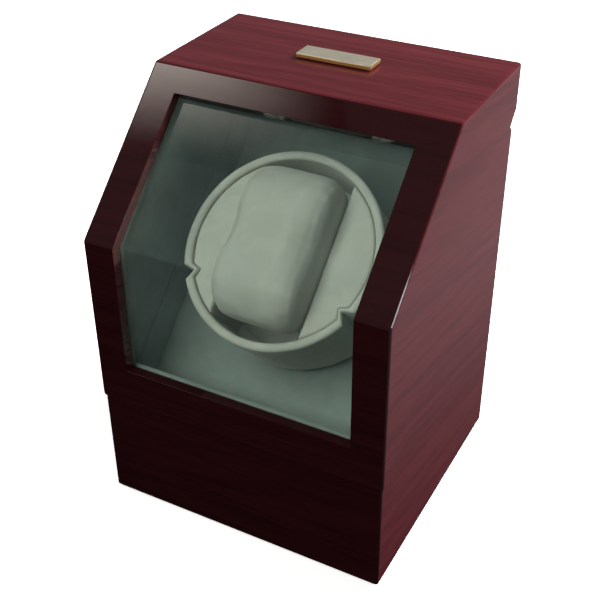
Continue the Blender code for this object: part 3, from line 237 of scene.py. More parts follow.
pileSizes = {
    "roughness": 0.92,
    "gloss": 0.15,
    "sheenRoughness": 0.45,
    "napScale": 90,  # strokes of a brush
    "broadScale": 18,  # and the slower change between them
    "napTone": 0.55,
    "broadTone": 0.45,
    "strokeEnds": (0.36, 0.64),
    "fuzzScale": 5200,
    "fleckEnds": (0.35, 0.7),
    "fleckShare": 0.25,
    "fleckLight": 1.25,
    "fuzzShare": 0.8,  # shares of the bump
    "napShare": 0.5,
    "fuzzDepth": 0.03 * mm,
}


def makePile(name, sizes, colour, shade, sheen):
    # short pile: brighter and darker strokes where it has been brushed, and a fuzzy surface
    fixed = {"Roughness": sizes["roughness"], "Specular IOR Level": sizes["gloss"], "Sheen Weight": sheen,
             "Sheen Roughness": sizes["sheenRoughness"], "Sheen Tint": (*colour, 1)}
    finish = Finish(name, fixed)
    spot = finish.spot()
    nap = finish.grain(spot, sizes["napScale"], 5.0, 0.6, 0.8)
    broad = finish.grain(spot, sizes["broadScale"], 3.0, 0.5, 0.4)
    fuzz = finish.grain(spot, sizes["fuzzScale"], 2.0, 0.6)
    brushed = finish.rise(nap * sizes["napTone"] + broad * sizes["broadTone"], *sizes["strokeEnds"])
    pile = finish.blend(brushed, [c * shade for c in colour], colour)
    flecks = finish.rise(fuzz, *sizes["fleckEnds"]) * sizes["fleckShare"]
    pile = finish.blend(flecks, pile, [min(1, c * sizes["fleckLight"]) for c in colour])
    finish.drive("Base Color", pile)
    finish.bump(fuzz * sizes["fuzzShare"] + nap * sizes["napShare"], sizes["fuzzDepth"], 0.7)
    return finish


glazingSizes = {
    "through": (0.925, 0.98, 0.955),
    "mirrored": (0.97, 1.0, 0.98),
    "polish": 0.02,
    "IOR": 1.5,
    "film": (0.62, 0.86, 0.80),
    "filmShare": 0.02,
    "filmLeast": 0.6,  # share of the film that is left between the smears
    "smearScale": 16,
    "smearEnds": (0.3, 0.75),
}


def makeGlazing(sizes):
    # clear pane: a tinted see-through shader under a mirror that grows at glancing angles
    finish = Finish("tintedGlazing", {})
    tree = finish.tree
    through = finish.add("ShaderNodeBsdfTransparent", None, {"Color": (*sizes["through"], 1)})
    mirror = {"Color": (*sizes["mirrored"], 1), "Roughness": sizes["polish"]}
    mirror = finish.add("ShaderNodeBsdfGlossy", None, mirror)
    glance = finish.add("ShaderNodeFresnel", None, {"IOR": sizes["IOR"]})
    # only where a ray comes in, or the way out turns into a black mirror
    glance = glance * (1 - finish.add("ShaderNodeNewGeometry", output="Backfacing"))
    # a thin film scatters a little light, more where the pane has been touched
    film = finish.add("ShaderNodeBsdfDiffuse", None, {"Color": (*sizes["film"], 1)})
    smears = finish.rise(finish.grain(finish.spot(), sizes["smearScale"], 4.0, 0.6), *sizes["smearEnds"])
    filmed = sizes["filmShare"] * (sizes["filmLeast"] + smears)
    through = finish.add("ShaderNodeMixShader", None, {0: filmed, 1: through, 2: film})
    both = finish.add("ShaderNodeMixShader", None, {0: glance, 1: through, 2: mirror})
    tree.links.new(both.socket, tree.nodes["Material Output"].inputs["Surface"])
    tree.nodes.remove(finish.shader)
    return finish


metalSizes = {
    "lineScale": 900, "stretch": 0.04, "stainScale": 130, "lineTone": 0.6, "stainTone": 0.4,
    "toneEnds": (0.3, 0.7), "darkLines": 0.82, "flatFacing": (0.35, 0.85), "lineRough": 0.10,
    "stainRough": 0.06, "lineDepth": 0.01 * mm,
}


def makeMetal(name, sizes, colour, rough, axis, metallic=1.0, rimColour=None):
    # brushed along one axis of the box, with faint stains; the rim colour is for upright faces, and faces turned
    # up keep the paler colour, which is partly a painted reflection
    finish = Finish(name, {"Metallic": metallic})
    spot = finish.spot()
    amounts = [1.0, 1.0, 1.0]
    amounts[axis] = sizes["stretch"]
    lines = finish.grain(finish.scaled(spot, amounts), sizes["lineScale"], 3.0, 0.6)
    stains = finish.grain(spot, sizes["stainScale"], 3.0, 0.5)
    tone = finish.rise(lines * sizes["lineTone"] + stains * sizes["stainTone"], *sizes["toneEnds"])
    brushed = finish.blend(tone, [c * sizes["darkLines"] for c in colour], colour)
    if rimColour:
        # partly painted reflection: faces turned up take the paler colour, upright faces the rim colour
        paintedPaleTop = finish.rise(finish.part(finish.facing(), 2), *sizes["flatFacing"])
        brushed = finish.blend(paintedPaleTop, rimColour, brushed)
    finish.drive("Base Color", brushed)
    finish.drive("Roughness", rough + sizes["lineRough"] * lines + sizes["stainRough"] * stains)
    finish.bump(lines, sizes["lineDepth"], 0.5)
    return finish


mouldedSizes = {"pitScale": 2200, "cloudScale": 60, "cloudReach": 0.2, "cloudRough": 0.12}


def makeMoulded(name, sizes, colour, rough, grainDepth):
    # moulded plastic or rubber with a fine eroded texture
    finish = Finish(name, {"IOR": 1.48})
    spot = finish.spot()
    pits = finish.grain(spot, sizes["pitScale"], 3.0, 0.65)
    cloud = finish.grain(spot, sizes["cloudScale"], 3.0, 0.5)
    ends = [[c * (1 + way * sizes["cloudReach"]) for c in colour] for way in (-1, 1)]
    finish.drive("Base Color", finish.blend(cloud, *ends))
    finish.drive("Roughness", rough + sizes["cloudRough"] * (cloud - 0.5))
    finish.bump(pits, grainDepth, 0.8)
    return finish


boardSizes = {
    "colour": (0.46, 0.34, 0.21), "darkShare": 0.6, "toneStops": (0.3, 0.7), "stretch": 0.06,
    "fibreScale": 420, "cloudScale": 30, "fibreTone": 0.7, "cloudTone": 0.3, "rough": 0.72,
    "fibreRough": 0.2, "fibreDepth": 0.08 * mm,
}


def makeBoard(sizes):
    # unfinished board with a fibrous grain across the box
    finish = Finish("plainBoard", {"Specular IOR Level": 0.25})
    spot = finish.spot()
    stretched = finish.scaled(spot, (sizes["stretch"], 1, 1))
    fibres = finish.grain(stretched, sizes["fibreScale"], 4.0, 0.6, 0.5)
    cloud = finish.grain(spot, sizes["cloudScale"], 3.0, 0.5)
    tone = fibres * sizes["fibreTone"] + cloud * sizes["cloudTone"]
    colours = ([c * sizes["darkShare"] for c in sizes["colour"]], sizes["colour"])
    finish.drive("Base Color", finish.ramp(tone, list(zip(sizes["toneStops"], colours))))
    finish.drive("Roughness", sizes["rough"] + sizes["fibreRough"] * fibres)
    finish.bump(fibres, sizes["fibreDepth"], 0.7)
    return finish


circuitSizes = {
    "dark": (0.010, 0.085, 0.030), "light": (0.03, 0.19, 0.07), "cellScale": 420, "unevenness": 0.2,
    "trackEnds": (0.42, 0.5), "polish": 0.28, "trackRough": 0.2, "trackDepth": 0.04 * mm,
}


def makeCircuitBoard(sizes):
    # green mask with faint tracks under it
    finish = Finish("circuitBoard", {"IOR": 1.5})
    cells = {"Vector": finish.spot(), "Scale": sizes["cellScale"], "Randomness": sizes["unevenness"]}
    tracks = finish.add("ShaderNodeTexVoronoi", {"distance": "MANHATTAN"}, cells)
    mask = finish.rise(tracks, *sizes["trackEnds"])
    finish.drive("Base Color", finish.blend(mask, sizes["dark"], sizes["light"]))
    finish.drive("Roughness", sizes["polish"] + sizes["trackRough"] * mask)
    finish.bump(mask, sizes["trackDepth"], 0.6)
    return finish


pileLooks = {
    # the lining is a darker, greener copy of the cream velvet's colour: painted shade for the inside of the box
    "suedeLining": {"colour": (0.270, 0.288, 0.262), "shade": 0.80, "sheen": 0.25},
    "creamVelvet": {"colour": (0.54, 0.495, 0.435), "shade": 0.84, "sheen": 0.40},
    "denseFelt": {"colour": (0.022, 0.022, 0.024), "shade": 0.6, "sheen": 0.1},
}
metalLooks = {
    "brushedBrass": {"colour": (0.88, 0.72, 0.44), "rough": 0.22, "axis": 0},
    # its paler top colour is partly a painted reflection of the light above; the rim colour is the plate's gold
    "satinPlate": {"colour": (0.80, 0.74, 0.58), "rough": 0.36, "axis": 0, "metallic": 0.80,
                   "rimColour": (0.80, 0.50, 0.16)},
    "platedSteel": {"colour": (0.58, 0.58, 0.57), "rough": 0.28, "axis": 2},
}
mouldedLooks = {
    "blackPlastic": {"colour": (0.016, 0.016, 0.017), "rough": 0.42, "grainDepth": 0.03 * mm},
    "whiteAcetal": {"colour": (0.70, 0.69, 0.65), "rough": 0.38, "grainDepth": 0.02 * mm},
    "blackRubber": {"colour": (0.018, 0.018, 0.018), "rough": 0.70, "grainDepth": 0.05 * mm},
    "whiteInk": {"colour": (0.66, 0.66, 0.64), "rough": 0.5, "grainDepth": 0.01 * mm},
}

cherry = makeCherry(cherrySizes)
lining, velvet, felt = [makePile(name, pileSizes, **look) for name, look in pileLooks.items()]
glazing = makeGlazing(glazingSizes)
brass, satinPlate, steel = [makeMetal(name, metalSizes, **look) for name, look in metalLooks.items()]
moulded = [makeMoulded(name, mouldedSizes, **look) for name, look in mouldedLooks.items()]
blackPlastic, whitePlastic, rubber, ink = moulded
board = makeBoard(boardSizes)
circuit = makeCircuitBoard(circuitSizes)
print("finishes made")


weldReach = {"copied": 0.002 * mm, "turned": 0.001 * mm, "cover": 0.02 * mm}


def smoothMesh(mesh, angle=35):
    mesh.shade_smooth()
    mesh.set_sharp_from_angle(angle=math.radians(angle))


def meshFrom(work, name, angle=35):
    mesh = bpy.data.meshes.new(name)
    bmesh.ops.recalc_face_normals(work, faces=work.faces)
    work.to_mesh(mesh)
    work.free()
    smoothMesh(mesh, angle)
    return mesh


def addPiece(name, mesh, finish, body, stands=()):
    piece = bpy.data.objects.new(name, mesh)
    scene.collection.objects.link(piece)
    mesh.materials.clear()
    mesh.materials.append(finish.material)
    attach(piece, body)
    if stands:
        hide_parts(*stands)
    return piece


def easedCopy(node, name, finish, edge, rounds=2, angle=40):
    # the frame's node again, with its sharp edges eased
    mesh = nodes[node].data.copy()
    work = bmesh.new()
    work.from_mesh(mesh)
    bmesh.ops.remove_doubles(work, verts=work.verts, dist=weldReach["copied"])
    bmesh.ops.dissolve_limit(work, angle_limit=math.radians(0.5), verts=work.verts, edges=work.edges)
    work.to_mesh(mesh)
    work.free()
    smoothMesh(mesh, angle)
    piece = addPiece(name, mesh, finish, bodyOf[node], (node,))
    bevel = piece.modifiers.new("easedEdges", "BEVEL")
    bevel.width = edge
    bevel.segments = rounds
    bevel.limit_method = "ANGLE"
    bevel.angle_limit = math.radians(angle)
    bevel.use_clamp_overlap = True
    bevel.miter_outer = "MITER_ARC"
    weights = piece.modifiers.new("flatFaces", "WEIGHTED_NORMAL")
    weights.keep_sharp = True
    return piece


def bridge(work, rings, closed=False):
    # faces from each ring to the next; a closed ring also meets its own start
    for first, second in zip(rings, rings[1:]):
        for index in range(len(first) - (0 if closed else 1)):
            after = (index + 1) % len(first)
            work.faces.new((first[index], second[index], second[after], first[after]))


def turnedMesh(profile, count, name, ripple=None):
    # radius and height pairs swept about Z; ripple changes a radius by angle and index
    work = bmesh.new()
    rings = []
    for turn in range(count):
        angle = 2 * math.pi * turn / count
        ring = []
        for index, (radius, height) in enumerate(profile):
            reach = radius + (ripple(angle, index) if ripple else 0)
            ring.append(work.verts.new((reach * math.cos(angle), reach * math.sin(angle), height)))
        rings.append(ring)
    bridge(work, rings + rings[:1])
    bmesh.ops.remove_doubles(work, verts=work.verts, dist=weldReach["turned"])
    return meshFrom(work, name)


def joined(meshes, name):
    # several placed meshes as one
    work = bmesh.new()
    for mesh, place in meshes:
        copy = mesh.copy()
        copy.transform(place)
        work.from_mesh(copy)
        bpy.data.meshes.remove(copy)
    return meshFrom(work, name)


def arcPoints(centre, radius, start, end, count):
    turns = [math.radians(start + (end - start) * i / count) for i in range(count + 1)]
    return [(centre[0] + radius * math.cos(t), centre[1] + radius * math.sin(t)) for t in turns]


easedEdges = {
    "case": {"edge": 0.45 * mm},
    "pane": {"edge": 0.5 * mm, "rounds": 3, "angle": 30},
    "lining": {"edge": 0.55 * mm, "rounds": 3, "angle": 25},
    "plate": {"edge": 0.35 * mm},
}

easedCopy("lid_case", "lidShell", cherry, **easedEdges["case"])
easedCopy("base_case", "baseShell", cherry, **easedEdges["case"])
easedCopy("window_pane", "windowGlass", glazing, **easedEdges["pane"])
for node in [name for name in nodes if slotOf[name] == "suede_lining"]:
    easedCopy(node, node.title().replace("_", "") + "Cloth", lining, **easedEdges["lining"])
easedCopy("name_plate", "blankNamePlate", satinPlate, **easedEdges["plate"])
print("case, pane and linings made")


drumLow, drumHigh = boxIn(drumPlace, "drum_cup")
notchSizes = {
    "angles": (208, 332),  # degrees round the rim, from the right-hand side
    "outer": 4.6 * mm,  # how deep the V goes into the wall from outside
    "inner": 3.0 * mm,  # and how far it stands into the drum
    "halfAngle": 3.9,  # half the width of a V, in degrees
    "tip": 0.7,  # softness of the V at its tip, in degrees
    "grow": 0.25,  # share of the depth over which a V grows to its full size
    "step": 0.3,  # degrees from one edge to the next beside a V
    "steps": 16,
}
drumSizes = {
    "radius": drumHigh.x,
    "depth": -drumLow.z,
    "wall": 4.0 * mm,
    "floor": 3.0 * mm,
    "taper": 1.2 * mm,
    "rimRound": 1.7 * mm,
    "heelRound": 4.0 * mm,
    "bore": 2.5 * mm,
    "ripple": 0.10 * mm,  # how unevenly the cloth lies on the wall
    "waveScale": 95,
    "creaseScale": 240,
    "wallFrom": 0.9,  # share of the inner radius outside which a point belongs to the wall
}


def notchShare(degrees, sizes):
    # 1 at the tip of a V, 0 away from it
    best = 0
    for middle in sizes["angles"]:
        away = abs((degrees - middle + 180) % 360 - 180)
        away = math.sqrt(away * away + sizes["tip"] ** 2) - sizes["tip"]
        best = max(best, 1 - away / sizes["halfAngle"])
    return max(0, best)


def drumAngles(sizes):
    steps = range(-sizes["steps"], sizes["steps"] + 1)
    near = [middle + step * sizes["step"] for middle in sizes["angles"] for step in steps]
    even = [2 * step for step in range(180)]
    return sorted({round(angle % 360, 3) for angle in near + even})


def makeDrum(sizes, notch):
    base = sizes["radius"] - sizes["taper"]
    inner = sizes["radius"] - sizes["wall"]
    rim, heel, depth = sizes["rimRound"], sizes["heelRound"], sizes["depth"]
    floor = sizes["floor"] - depth
    outerRim = arcPoints((sizes["radius"] - rim, -rim), rim, 90, 0, 6)
    heelArc = arcPoints((base - heel, heel - depth), heel, 0, -90, 5)
    innerHeel = arcPoints((inner - 2 * sizes["wall"], floor + sizes["wall"]), sizes["wall"], -90, 0, 4)
    innerRim = arcPoints((inner + rim, -rim), rim, 180, 90, 6)
    low = heel - depth
    wallDown = [(sizes["radius"] + (base - sizes["radius"]) * t, -rim + (low + rim) * t)
                for t in (0.12, 0.3, 0.5, 0.7, 0.88)]
    wallUp = [(inner, floor + sizes["wall"] + (-rim - floor - sizes["wall"]) * t)
              for t in (0.05, 0.3, 0.6, 0.9)]
    outside = outerRim + wallDown + heelArc
    bottom = [(sizes["bore"], -depth), (sizes["bore"], floor)]
    inside = innerHeel + wallUp + innerRim
    profile = outside + bottom + inside
    grow = depth * notch["grow"]
    wallFrom = inner * sizes["wallFrom"]
    work = bmesh.new()
    rings = []
    for degrees in drumAngles(notch):
        share = notchShare(degrees, notch)
        angle = math.radians(degrees)
        ring = []
        for index, (radius, height) in enumerate(profile):
            reach = radius
            if index < len(outside):
                fade = min(1, (height + depth) / grow)
                reach -= notch["outer"] * share * fade
            elif index >= len(outside) + len(bottom) and radius > wallFrom:
                fade = min(1, (height - floor) / grow)
                reach -= notch["inner"] * share * fade
            spot = Vector((reach * math.cos(angle), reach * math.sin(angle), height))
            if radius > wallFrom:
                lift = noise.noise(spot * sizes["waveScale"]) + 0.5 * noise.noise(spot * sizes["creaseScale"])
                spot += Vector((math.cos(angle), math.sin(angle), 0.4)) * lift * sizes["ripple"]
            ring.append(work.verts.new(spot))
        rings.append(ring)
    bridge(work, rings + rings[:1], True)
    mesh = meshFrom(work, "drumShell", 50)
    mesh.transform(drumPlace)
    return mesh


addPiece("drumShell", makeDrum(drumSizes, notchSizes), velvet, "drum", ("drum_cup",))


coverSizes = {
    "gap": 0.35 * mm,
    "edgeRound": 1.3 * mm,
    "crown": 0.5 * mm,
    "foldDepth": 0.55 * mm,
    "foldWidth": 0.9 * mm,
    "foldFall": 0.14,  # how far the fold leans as it leaves the notch
    "foldFade": 6 * mm,  # it is shallower within this distance of the pillow's side
    "foldLeast": 0.35,
    "lump": 0.08 * mm,
    "lumpScale": 150,
    "turnSteps": 72,
    "acrossSteps": 26,
}


def makeCover(side, node, sizes, drum, notch):
    # padded board that fills the drum beside the pillow
    low, high = boxIn(drumPlace, node)
    chord = low.x if side > 0 else -high.x
    top, foot = high.z, low.z
    rimReach = drum["radius"] - drum["wall"] - sizes["gap"]
    tips = math.degrees(math.acos(chord / rimReach))
    notchAt = notch["angles"][1] if side > 0 else 540 - notch["angles"][0]
    start = Vector((math.cos(math.radians(notchAt)), math.sin(math.radians(notchAt)))) * rimReach
    work = bmesh.new()

    def edgeFall(distance):
        reach = sizes["edgeRound"]
        inside = max(0, reach - distance)
        return reach - math.sqrt(max(0, reach * reach - inside * inside))

    grid = []
    for step in range(sizes["turnSteps"] + 1):
        degrees = -tips + 2 * tips * step / sizes["turnSteps"]
        share = notchShare(degrees % 360 if side > 0 else (180 - degrees) % 360, notch)
        angle = math.radians(degrees)
        far = rimReach - notch["inner"] * share
        near = chord / math.cos(angle)
        row = []
        for across in range(sizes["acrossSteps"] + 1):
            t = 0.5 - 0.5 * math.cos(math.pi * across / sizes["acrossSteps"])
            reach = near + (far - near) * t
            x, y = reach * math.cos(angle), reach * math.sin(angle)
            fall = edgeFall(far - reach) + edgeFall(x - chord)
            swell = sizes["crown"] * math.sin(math.pi * min(1, max(0, (far - reach) / (far - near + 1e-6))))
            run = (start.x - x) * sizes["foldFall"]
            away = (y - (start.y - run)) / sizes["foldWidth"]
            fade = min(1, max(0, (x - chord) / sizes["foldFade"]) + sizes["foldLeast"])
            fold = sizes["foldDepth"] * math.exp(-away * away) * fade
            height = top - min(fall, sizes["edgeRound"]) + swell - fold
            height += sizes["lump"] * noise.noise(Vector((x, y, side)) * sizes["lumpScale"])
            row.append(work.verts.new((side * x, y, height)))
        grid.append(row)
    for first, second in zip(grid, grid[1:]):
        for index in range(sizes["acrossSteps"]):
            work.faces.new((first[index], first[index + 1], second[index + 1], second[index]))
    border = grid[0] + [row[-1] for row in grid[1:]] + grid[-1][-2::-1] + [row[0] for row in grid[-2:0:-1]]
    skirt = [work.verts.new((vertex.co.x, vertex.co.y, foot)) for vertex in border]
    count = len(border)
    for index in range(count):
        after = (index + 1) % count
        work.faces.new((border[index], border[after], skirt[after], skirt[index]))
    work.faces.new(skirt)
    bmesh.ops.remove_doubles(work, verts=work.verts, dist=weldReach["cover"])
    mesh = meshFrom(work, "drumCover", 60)
    mesh.transform(drumPlace)
    return mesh


for side, word in ((-1, "left"), (1, "right")):
    node = "drum_insert_" + word
    cover = makeCover(side, node, coverSizes, drumSizes, notchSizes)
    addPiece("drumCover" + word.title(), cover, velvet, "drum", (node,))
print("drum and its covers made")


pillowSizes = {
    "shrink": 0.9 * mm,  # how much smaller the bag starts than its finished shape
    "squareness": 0.34,  # of the ends; 1 is a ball, 0 a box
    "fullness": 0.86,
    "waistDip": 2.6 * mm,  # hollow that a watch leaves in the crown
    "waistPinch": 0.13,
    "waistReach": 13 * mm,
    "around": 72,  # points round the bag
    "along": 32,  # and rings from end to end
    "simulationScale": 10,
    "voxel": 1.5 * mm,
    "pressure": 5.0,
    "stiffness": 8,
    "bending": 0.2,
    "growth": 0.05,
    "clothSteps": 6,
    "frames": 18,
    "travel": 1.5 * mm,
    "seamInset": 4.2 * mm,
    "seamDepth": 0.40 * mm,
    "seamWidth": 0.55 * mm,
    "wrinkle": 0.16 * mm,
    "gathers": 23,  # folds round the bag beside each seam
    "gatherScale": 60,
    "gatherShare": 0.5,
    "creaseAlong": 40,
    "creaseAcross": 110,
    "fill": 0.75,
}
pillowLow, pillowHigh = boxIn(drumPlace, "pillow_cushion")


def bagMesh(sizes, low, high):
    # a roll with rounded ends, nipped in at the middle of its crown
    half = (high - low) / 2 - Vector((sizes["shrink"],) * 3)
    middle = (high + low) / 2
    around, along = sizes["around"], sizes["along"]
    work = bmesh.new()

    def shaped(value, power):
        return math.copysign(abs(value) ** power, value)

    rings = []
    for station in range(1, along):
        slope = -math.pi / 2 + math.pi * station / along
        x = half.x * shaped(math.sin(slope), sizes["squareness"])
        size = shaped(math.cos(slope), sizes["squareness"])
        ring = []
        for step in range(around):
            turn = 2 * math.pi * step / around
            y = half.y * size * shaped(math.cos(turn), sizes["fullness"])
            z = half.z * size * shaped(math.sin(turn), sizes["fullness"])
            waist = math.exp(-((y / sizes["waistReach"]) ** 2)) * max(0, z / half.z)
            spot = Vector((x * (1 - sizes["waistPinch"] * waist), y, z - sizes["waistDip"] * waist))
            ring.append(work.verts.new(middle + spot))
        rings.append(ring)
    bridge(work, rings, True)
    for ring, side in ((rings[0], -1), (rings[-1], 1)):
        pole = work.verts.new(middle + Vector((side * half.x, 0, 0)))
        for index in range(around):
            work.faces.new((ring[index], ring[(index + 1) % around], pole))
    return meshFrom(work, "pillowBag", 80)


def evaluatedMesh(thing):
    return bpy.data.meshes.new_from_object(thing.evaluated_get(bpy.context.evaluated_depsgraph_get()))


def stuffedMesh(mesh, sizes):
    mesh.transform(Matrix.Scale(sizes["simulationScale"], 4))
    bag = bpy.data.objects.new("pillowWork", mesh)
    scene.collection.objects.link(bag)
    remesh = bag.modifiers.new("evenMesh", "REMESH")
    remesh.mode = "VOXEL"
    remesh.voxel_size = sizes["voxel"] * sizes["simulationScale"]
    bag.data = evaluatedMesh(bag)
    bag.modifiers.clear()
    start = [vertex.co.copy() for vertex in bag.data.vertices]
    cloth = bag.modifiers.new("stuffing", "CLOTH").settings
    cloth.use_pressure = True
    cloth.uniform_pressure_force = sizes["pressure"]
    cloth.effector_weights.gravity = 0
    cloth.quality = sizes["clothSteps"]
    cloth.tension_stiffness = sizes["stiffness"]
    cloth.compression_stiffness = sizes["stiffness"]
    cloth.bending_stiffness = sizes["bending"]
    cloth.shrink_min = -sizes["growth"]
    for number in range(1, sizes["frames"] + 1):
        scene.frame_set(number)
    swollen = evaluatedMesh(bag)
    bag.modifiers.clear()
    limit = sizes["travel"] * sizes["simulationScale"]
    for vertex, before in zip(swollen.vertices, start):
        moved = vertex.co - before
        if moved.length > limit:
            vertex.co = before + moved.normalized() * limit
    bag.data = swollen
    scene.frame_set(1)
    result = bag.data.copy()
    bpy.data.objects.remove(bag)
    result.transform(Matrix.Scale(1 / sizes["simulationScale"], 4))
    return result


def finishPillow(mesh, sizes, low, high):
    # seams near both ends, a few soft wrinkles, and the walls that hold its sides in
    middle = (low + high) / 2
    seamAt = high.x - sizes["seamInset"]
    normals = [vertex.normal.copy() for vertex in mesh.vertices]
    for vertex, normal in zip(mesh.vertices, normals):
        spot = vertex.co
        away = (abs(spot.x) - seamAt) / sizes["seamWidth"]
        radial = Vector((0, normal.y, normal.z)).length
        sink = sizes["seamDepth"] * math.exp(-away * away) * radial
        pucker = math.exp(-((abs(spot.x) - seamAt) / (3 * sizes["seamInset"])) ** 2)
        around = math.atan2(spot.z - middle.z, spot.y - middle.y)
        wander = 3 * noise.noise(spot * sizes["gatherScale"])
        gather = math.sin(around * sizes["gathers"] + wander) * pucker * sizes["gatherShare"]
        across = sizes["creaseAcross"]
        crease = noise.noise(Vector((spot.x * sizes["creaseAlong"], spot.y * across, spot.z * across)))
        spot += normal * (sizes["wrinkle"] * (crease + gather) - sink)
        for axis in range(3):
            spot[axis] = min(high[axis], max(low[axis], spot[axis]))
    smoothMesh(mesh, 80)
    mesh.transform(drumPlace)
    return mesh


cushion = stuffedMesh(bagMesh(pillowSizes, pillowLow, pillowHigh), pillowSizes)
cushion = finishPillow(cushion, pillowSizes, pillowLow, pillowHigh)
pillow = addPiece("pillowCushion", cushion, velvet, "pillow", ("pillow_cushion",))
pillow.modifiers.new("softer", "SUBSURF").levels = 1
pillow.modifiers["softer"].render_levels = 1
print("pillow stuffed")


screwSizes = {"head": 1.5 * mm, "proud": 0.30 * mm, "slotWidth": 0.45 * mm, "slotDepth": 0.25 * mm}
hingeSizes = {
    "edge": 0.18 * mm,
    "knuckle": 8 * mm,  # what is nearer to the axis is not taken as plate
    "inset": 4.0 * mm,
    "fromEdge": 4.0 * mm,
    "thirdScrew": 0.35,  # how much nearer to the axis the middle screw is, as a share of the leaf
    "firstTurn": 17,
    "nextTurn": 31,
}


def screwHead(sizes):
    # a raised countersunk head with a cross recess, facing local Z
    radius, proud = sizes["head"], sizes["proud"]
    profile = [(0, proud), (radius * 0.55, proud * 0.94), (radius * 0.9, proud * 0.55), (radius, 0.02 * mm),
               (radius, -0.15 * mm), (0, -0.15 * mm)]
    head = bpy.data.objects.new("screwWork", turnedMesh(profile, 28, "screwHead"))
    scene.collection.objects.link(head)
    cutters = []
    for turn in (0, 90):
        work = bmesh.new()
        size = Matrix.Diagonal((radius * 1.3, sizes["slotWidth"], sizes["slotDepth"] * 2, 1))
        spot = Matrix.Translation((0, 0, proud)) @ Matrix.Rotation(math.radians(turn), 4, "Z")
        bmesh.ops.create_cube(work, size=1, matrix=spot @ size)
        cutter = bpy.data.objects.new("slotWork", meshFrom(work, "slot"))
        scene.collection.objects.link(cutter)
        cutters.append(cutter)
        recess = head.modifiers.new("recess", "BOOLEAN")
        recess.operation = "DIFFERENCE"
        recess.object = cutter
    mesh = evaluatedMesh(head)
    for thing in [head, *cutters]:
        bpy.data.objects.remove(thing)
    smoothMesh(mesh, 30)
    return mesh


outOfBack = Matrix(((-1, 0, 0), (0, 0, 1), (0, 1, 0))).to_4x4()


def addHinge(part, side, head, sizes):
    # one leaf and its three screws, each left at its own turn
    node = f"hinge_{part}_leaf_{side}"
    easedCopy(node, f"{part}HingeLeaf{side.title()}", brass, sizes["edge"], 2, 50)
    low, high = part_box(node)
    axisZ = joints["lid_hinge"]["pos_m"][2]
    plate = [v.co.y for v in nodes[node].data.vertices if abs(v.co.z - axisZ) > sizes["knuckle"]]
    face = max(plate)
    far, toward = (low.z, 1) if part == "base" else (high.z, -1)
    edgeRow = far + toward * sizes["fromEdge"]
    innerRow = far + toward * (sizes["fromEdge"] + abs(axisZ - far) * sizes["thirdScrew"])
    spots = [(low.x + sizes["inset"], edgeRow), (high.x - sizes["inset"], edgeRow)]
    spots.append(((low.x + high.x) / 2, innerRow))
    turned = []
    for index, (x, z) in enumerate(spots):
        twist = Matrix.Rotation(math.radians(sizes["firstTurn"] + sizes["nextTurn"] * index), 4, "Z")
        turned.append((head, Matrix.Translation((x, face, z)) @ outOfBack @ twist))
    screws = joined(turned, "hingeScrews")
    addPiece(f"{part}HingeScrews{side.title()}", screws, steel, bodyOf[node])


head = screwHead(screwSizes)
for side in ("left", "right"):
    for part in ("base", "lid"):
        addHinge(part, side, head, hingeSizes)
print("hinges made")


controlSizes = {
    "dotRadius": 0.42 * mm,
    "dotReach": 8.4 * mm,
    "dotCount": 6,
    "sweep": 270,
    "flutes": 24,
    "fluteDepth": 0.35 * mm,
    "inkHeight": 0.04 * mm,
    "firstDot": 1.4,  # size of the first dot over the others
    "stem": 2.0 * mm,
    "knobGap": 0.3 * mm,  # between the knob and the plate
    "knobDish": 0.25 * mm,
    "knobRound": 0.7 * mm,
    "bar": (0.5 * mm, 2.0 * mm),
    "ring": (0.95 * mm, 0.6 * mm),
    "markShares": (0.76, 0.24),  # where the two marks are on the rocker, from its foot
}
inletSizes = {
    "flange": 1.0 * mm, "bore": 2.8 * mm, "floor": 1.5 * mm, "lead": 0.3 * mm, "round": 0.35 * mm,
    "sleeveGap": 0.08 * mm, "sleeveInside": 0.30 * mm, "sleeveDeep": 1.2 * mm, "pin": 0.85 * mm,
    "pinDeep": 2.2 * mm,
}
controlEdges = {
    "plate": {"edge": 0.3 * mm},
    "switch": {"edge": 0.25 * mm},
    "rocker": {"edge": 0.3 * mm, "rounds": 3, "angle": 30},
}


def placeOnBack(x, y, z):
    return Matrix.Translation((x, y, z)) @ outOfBack


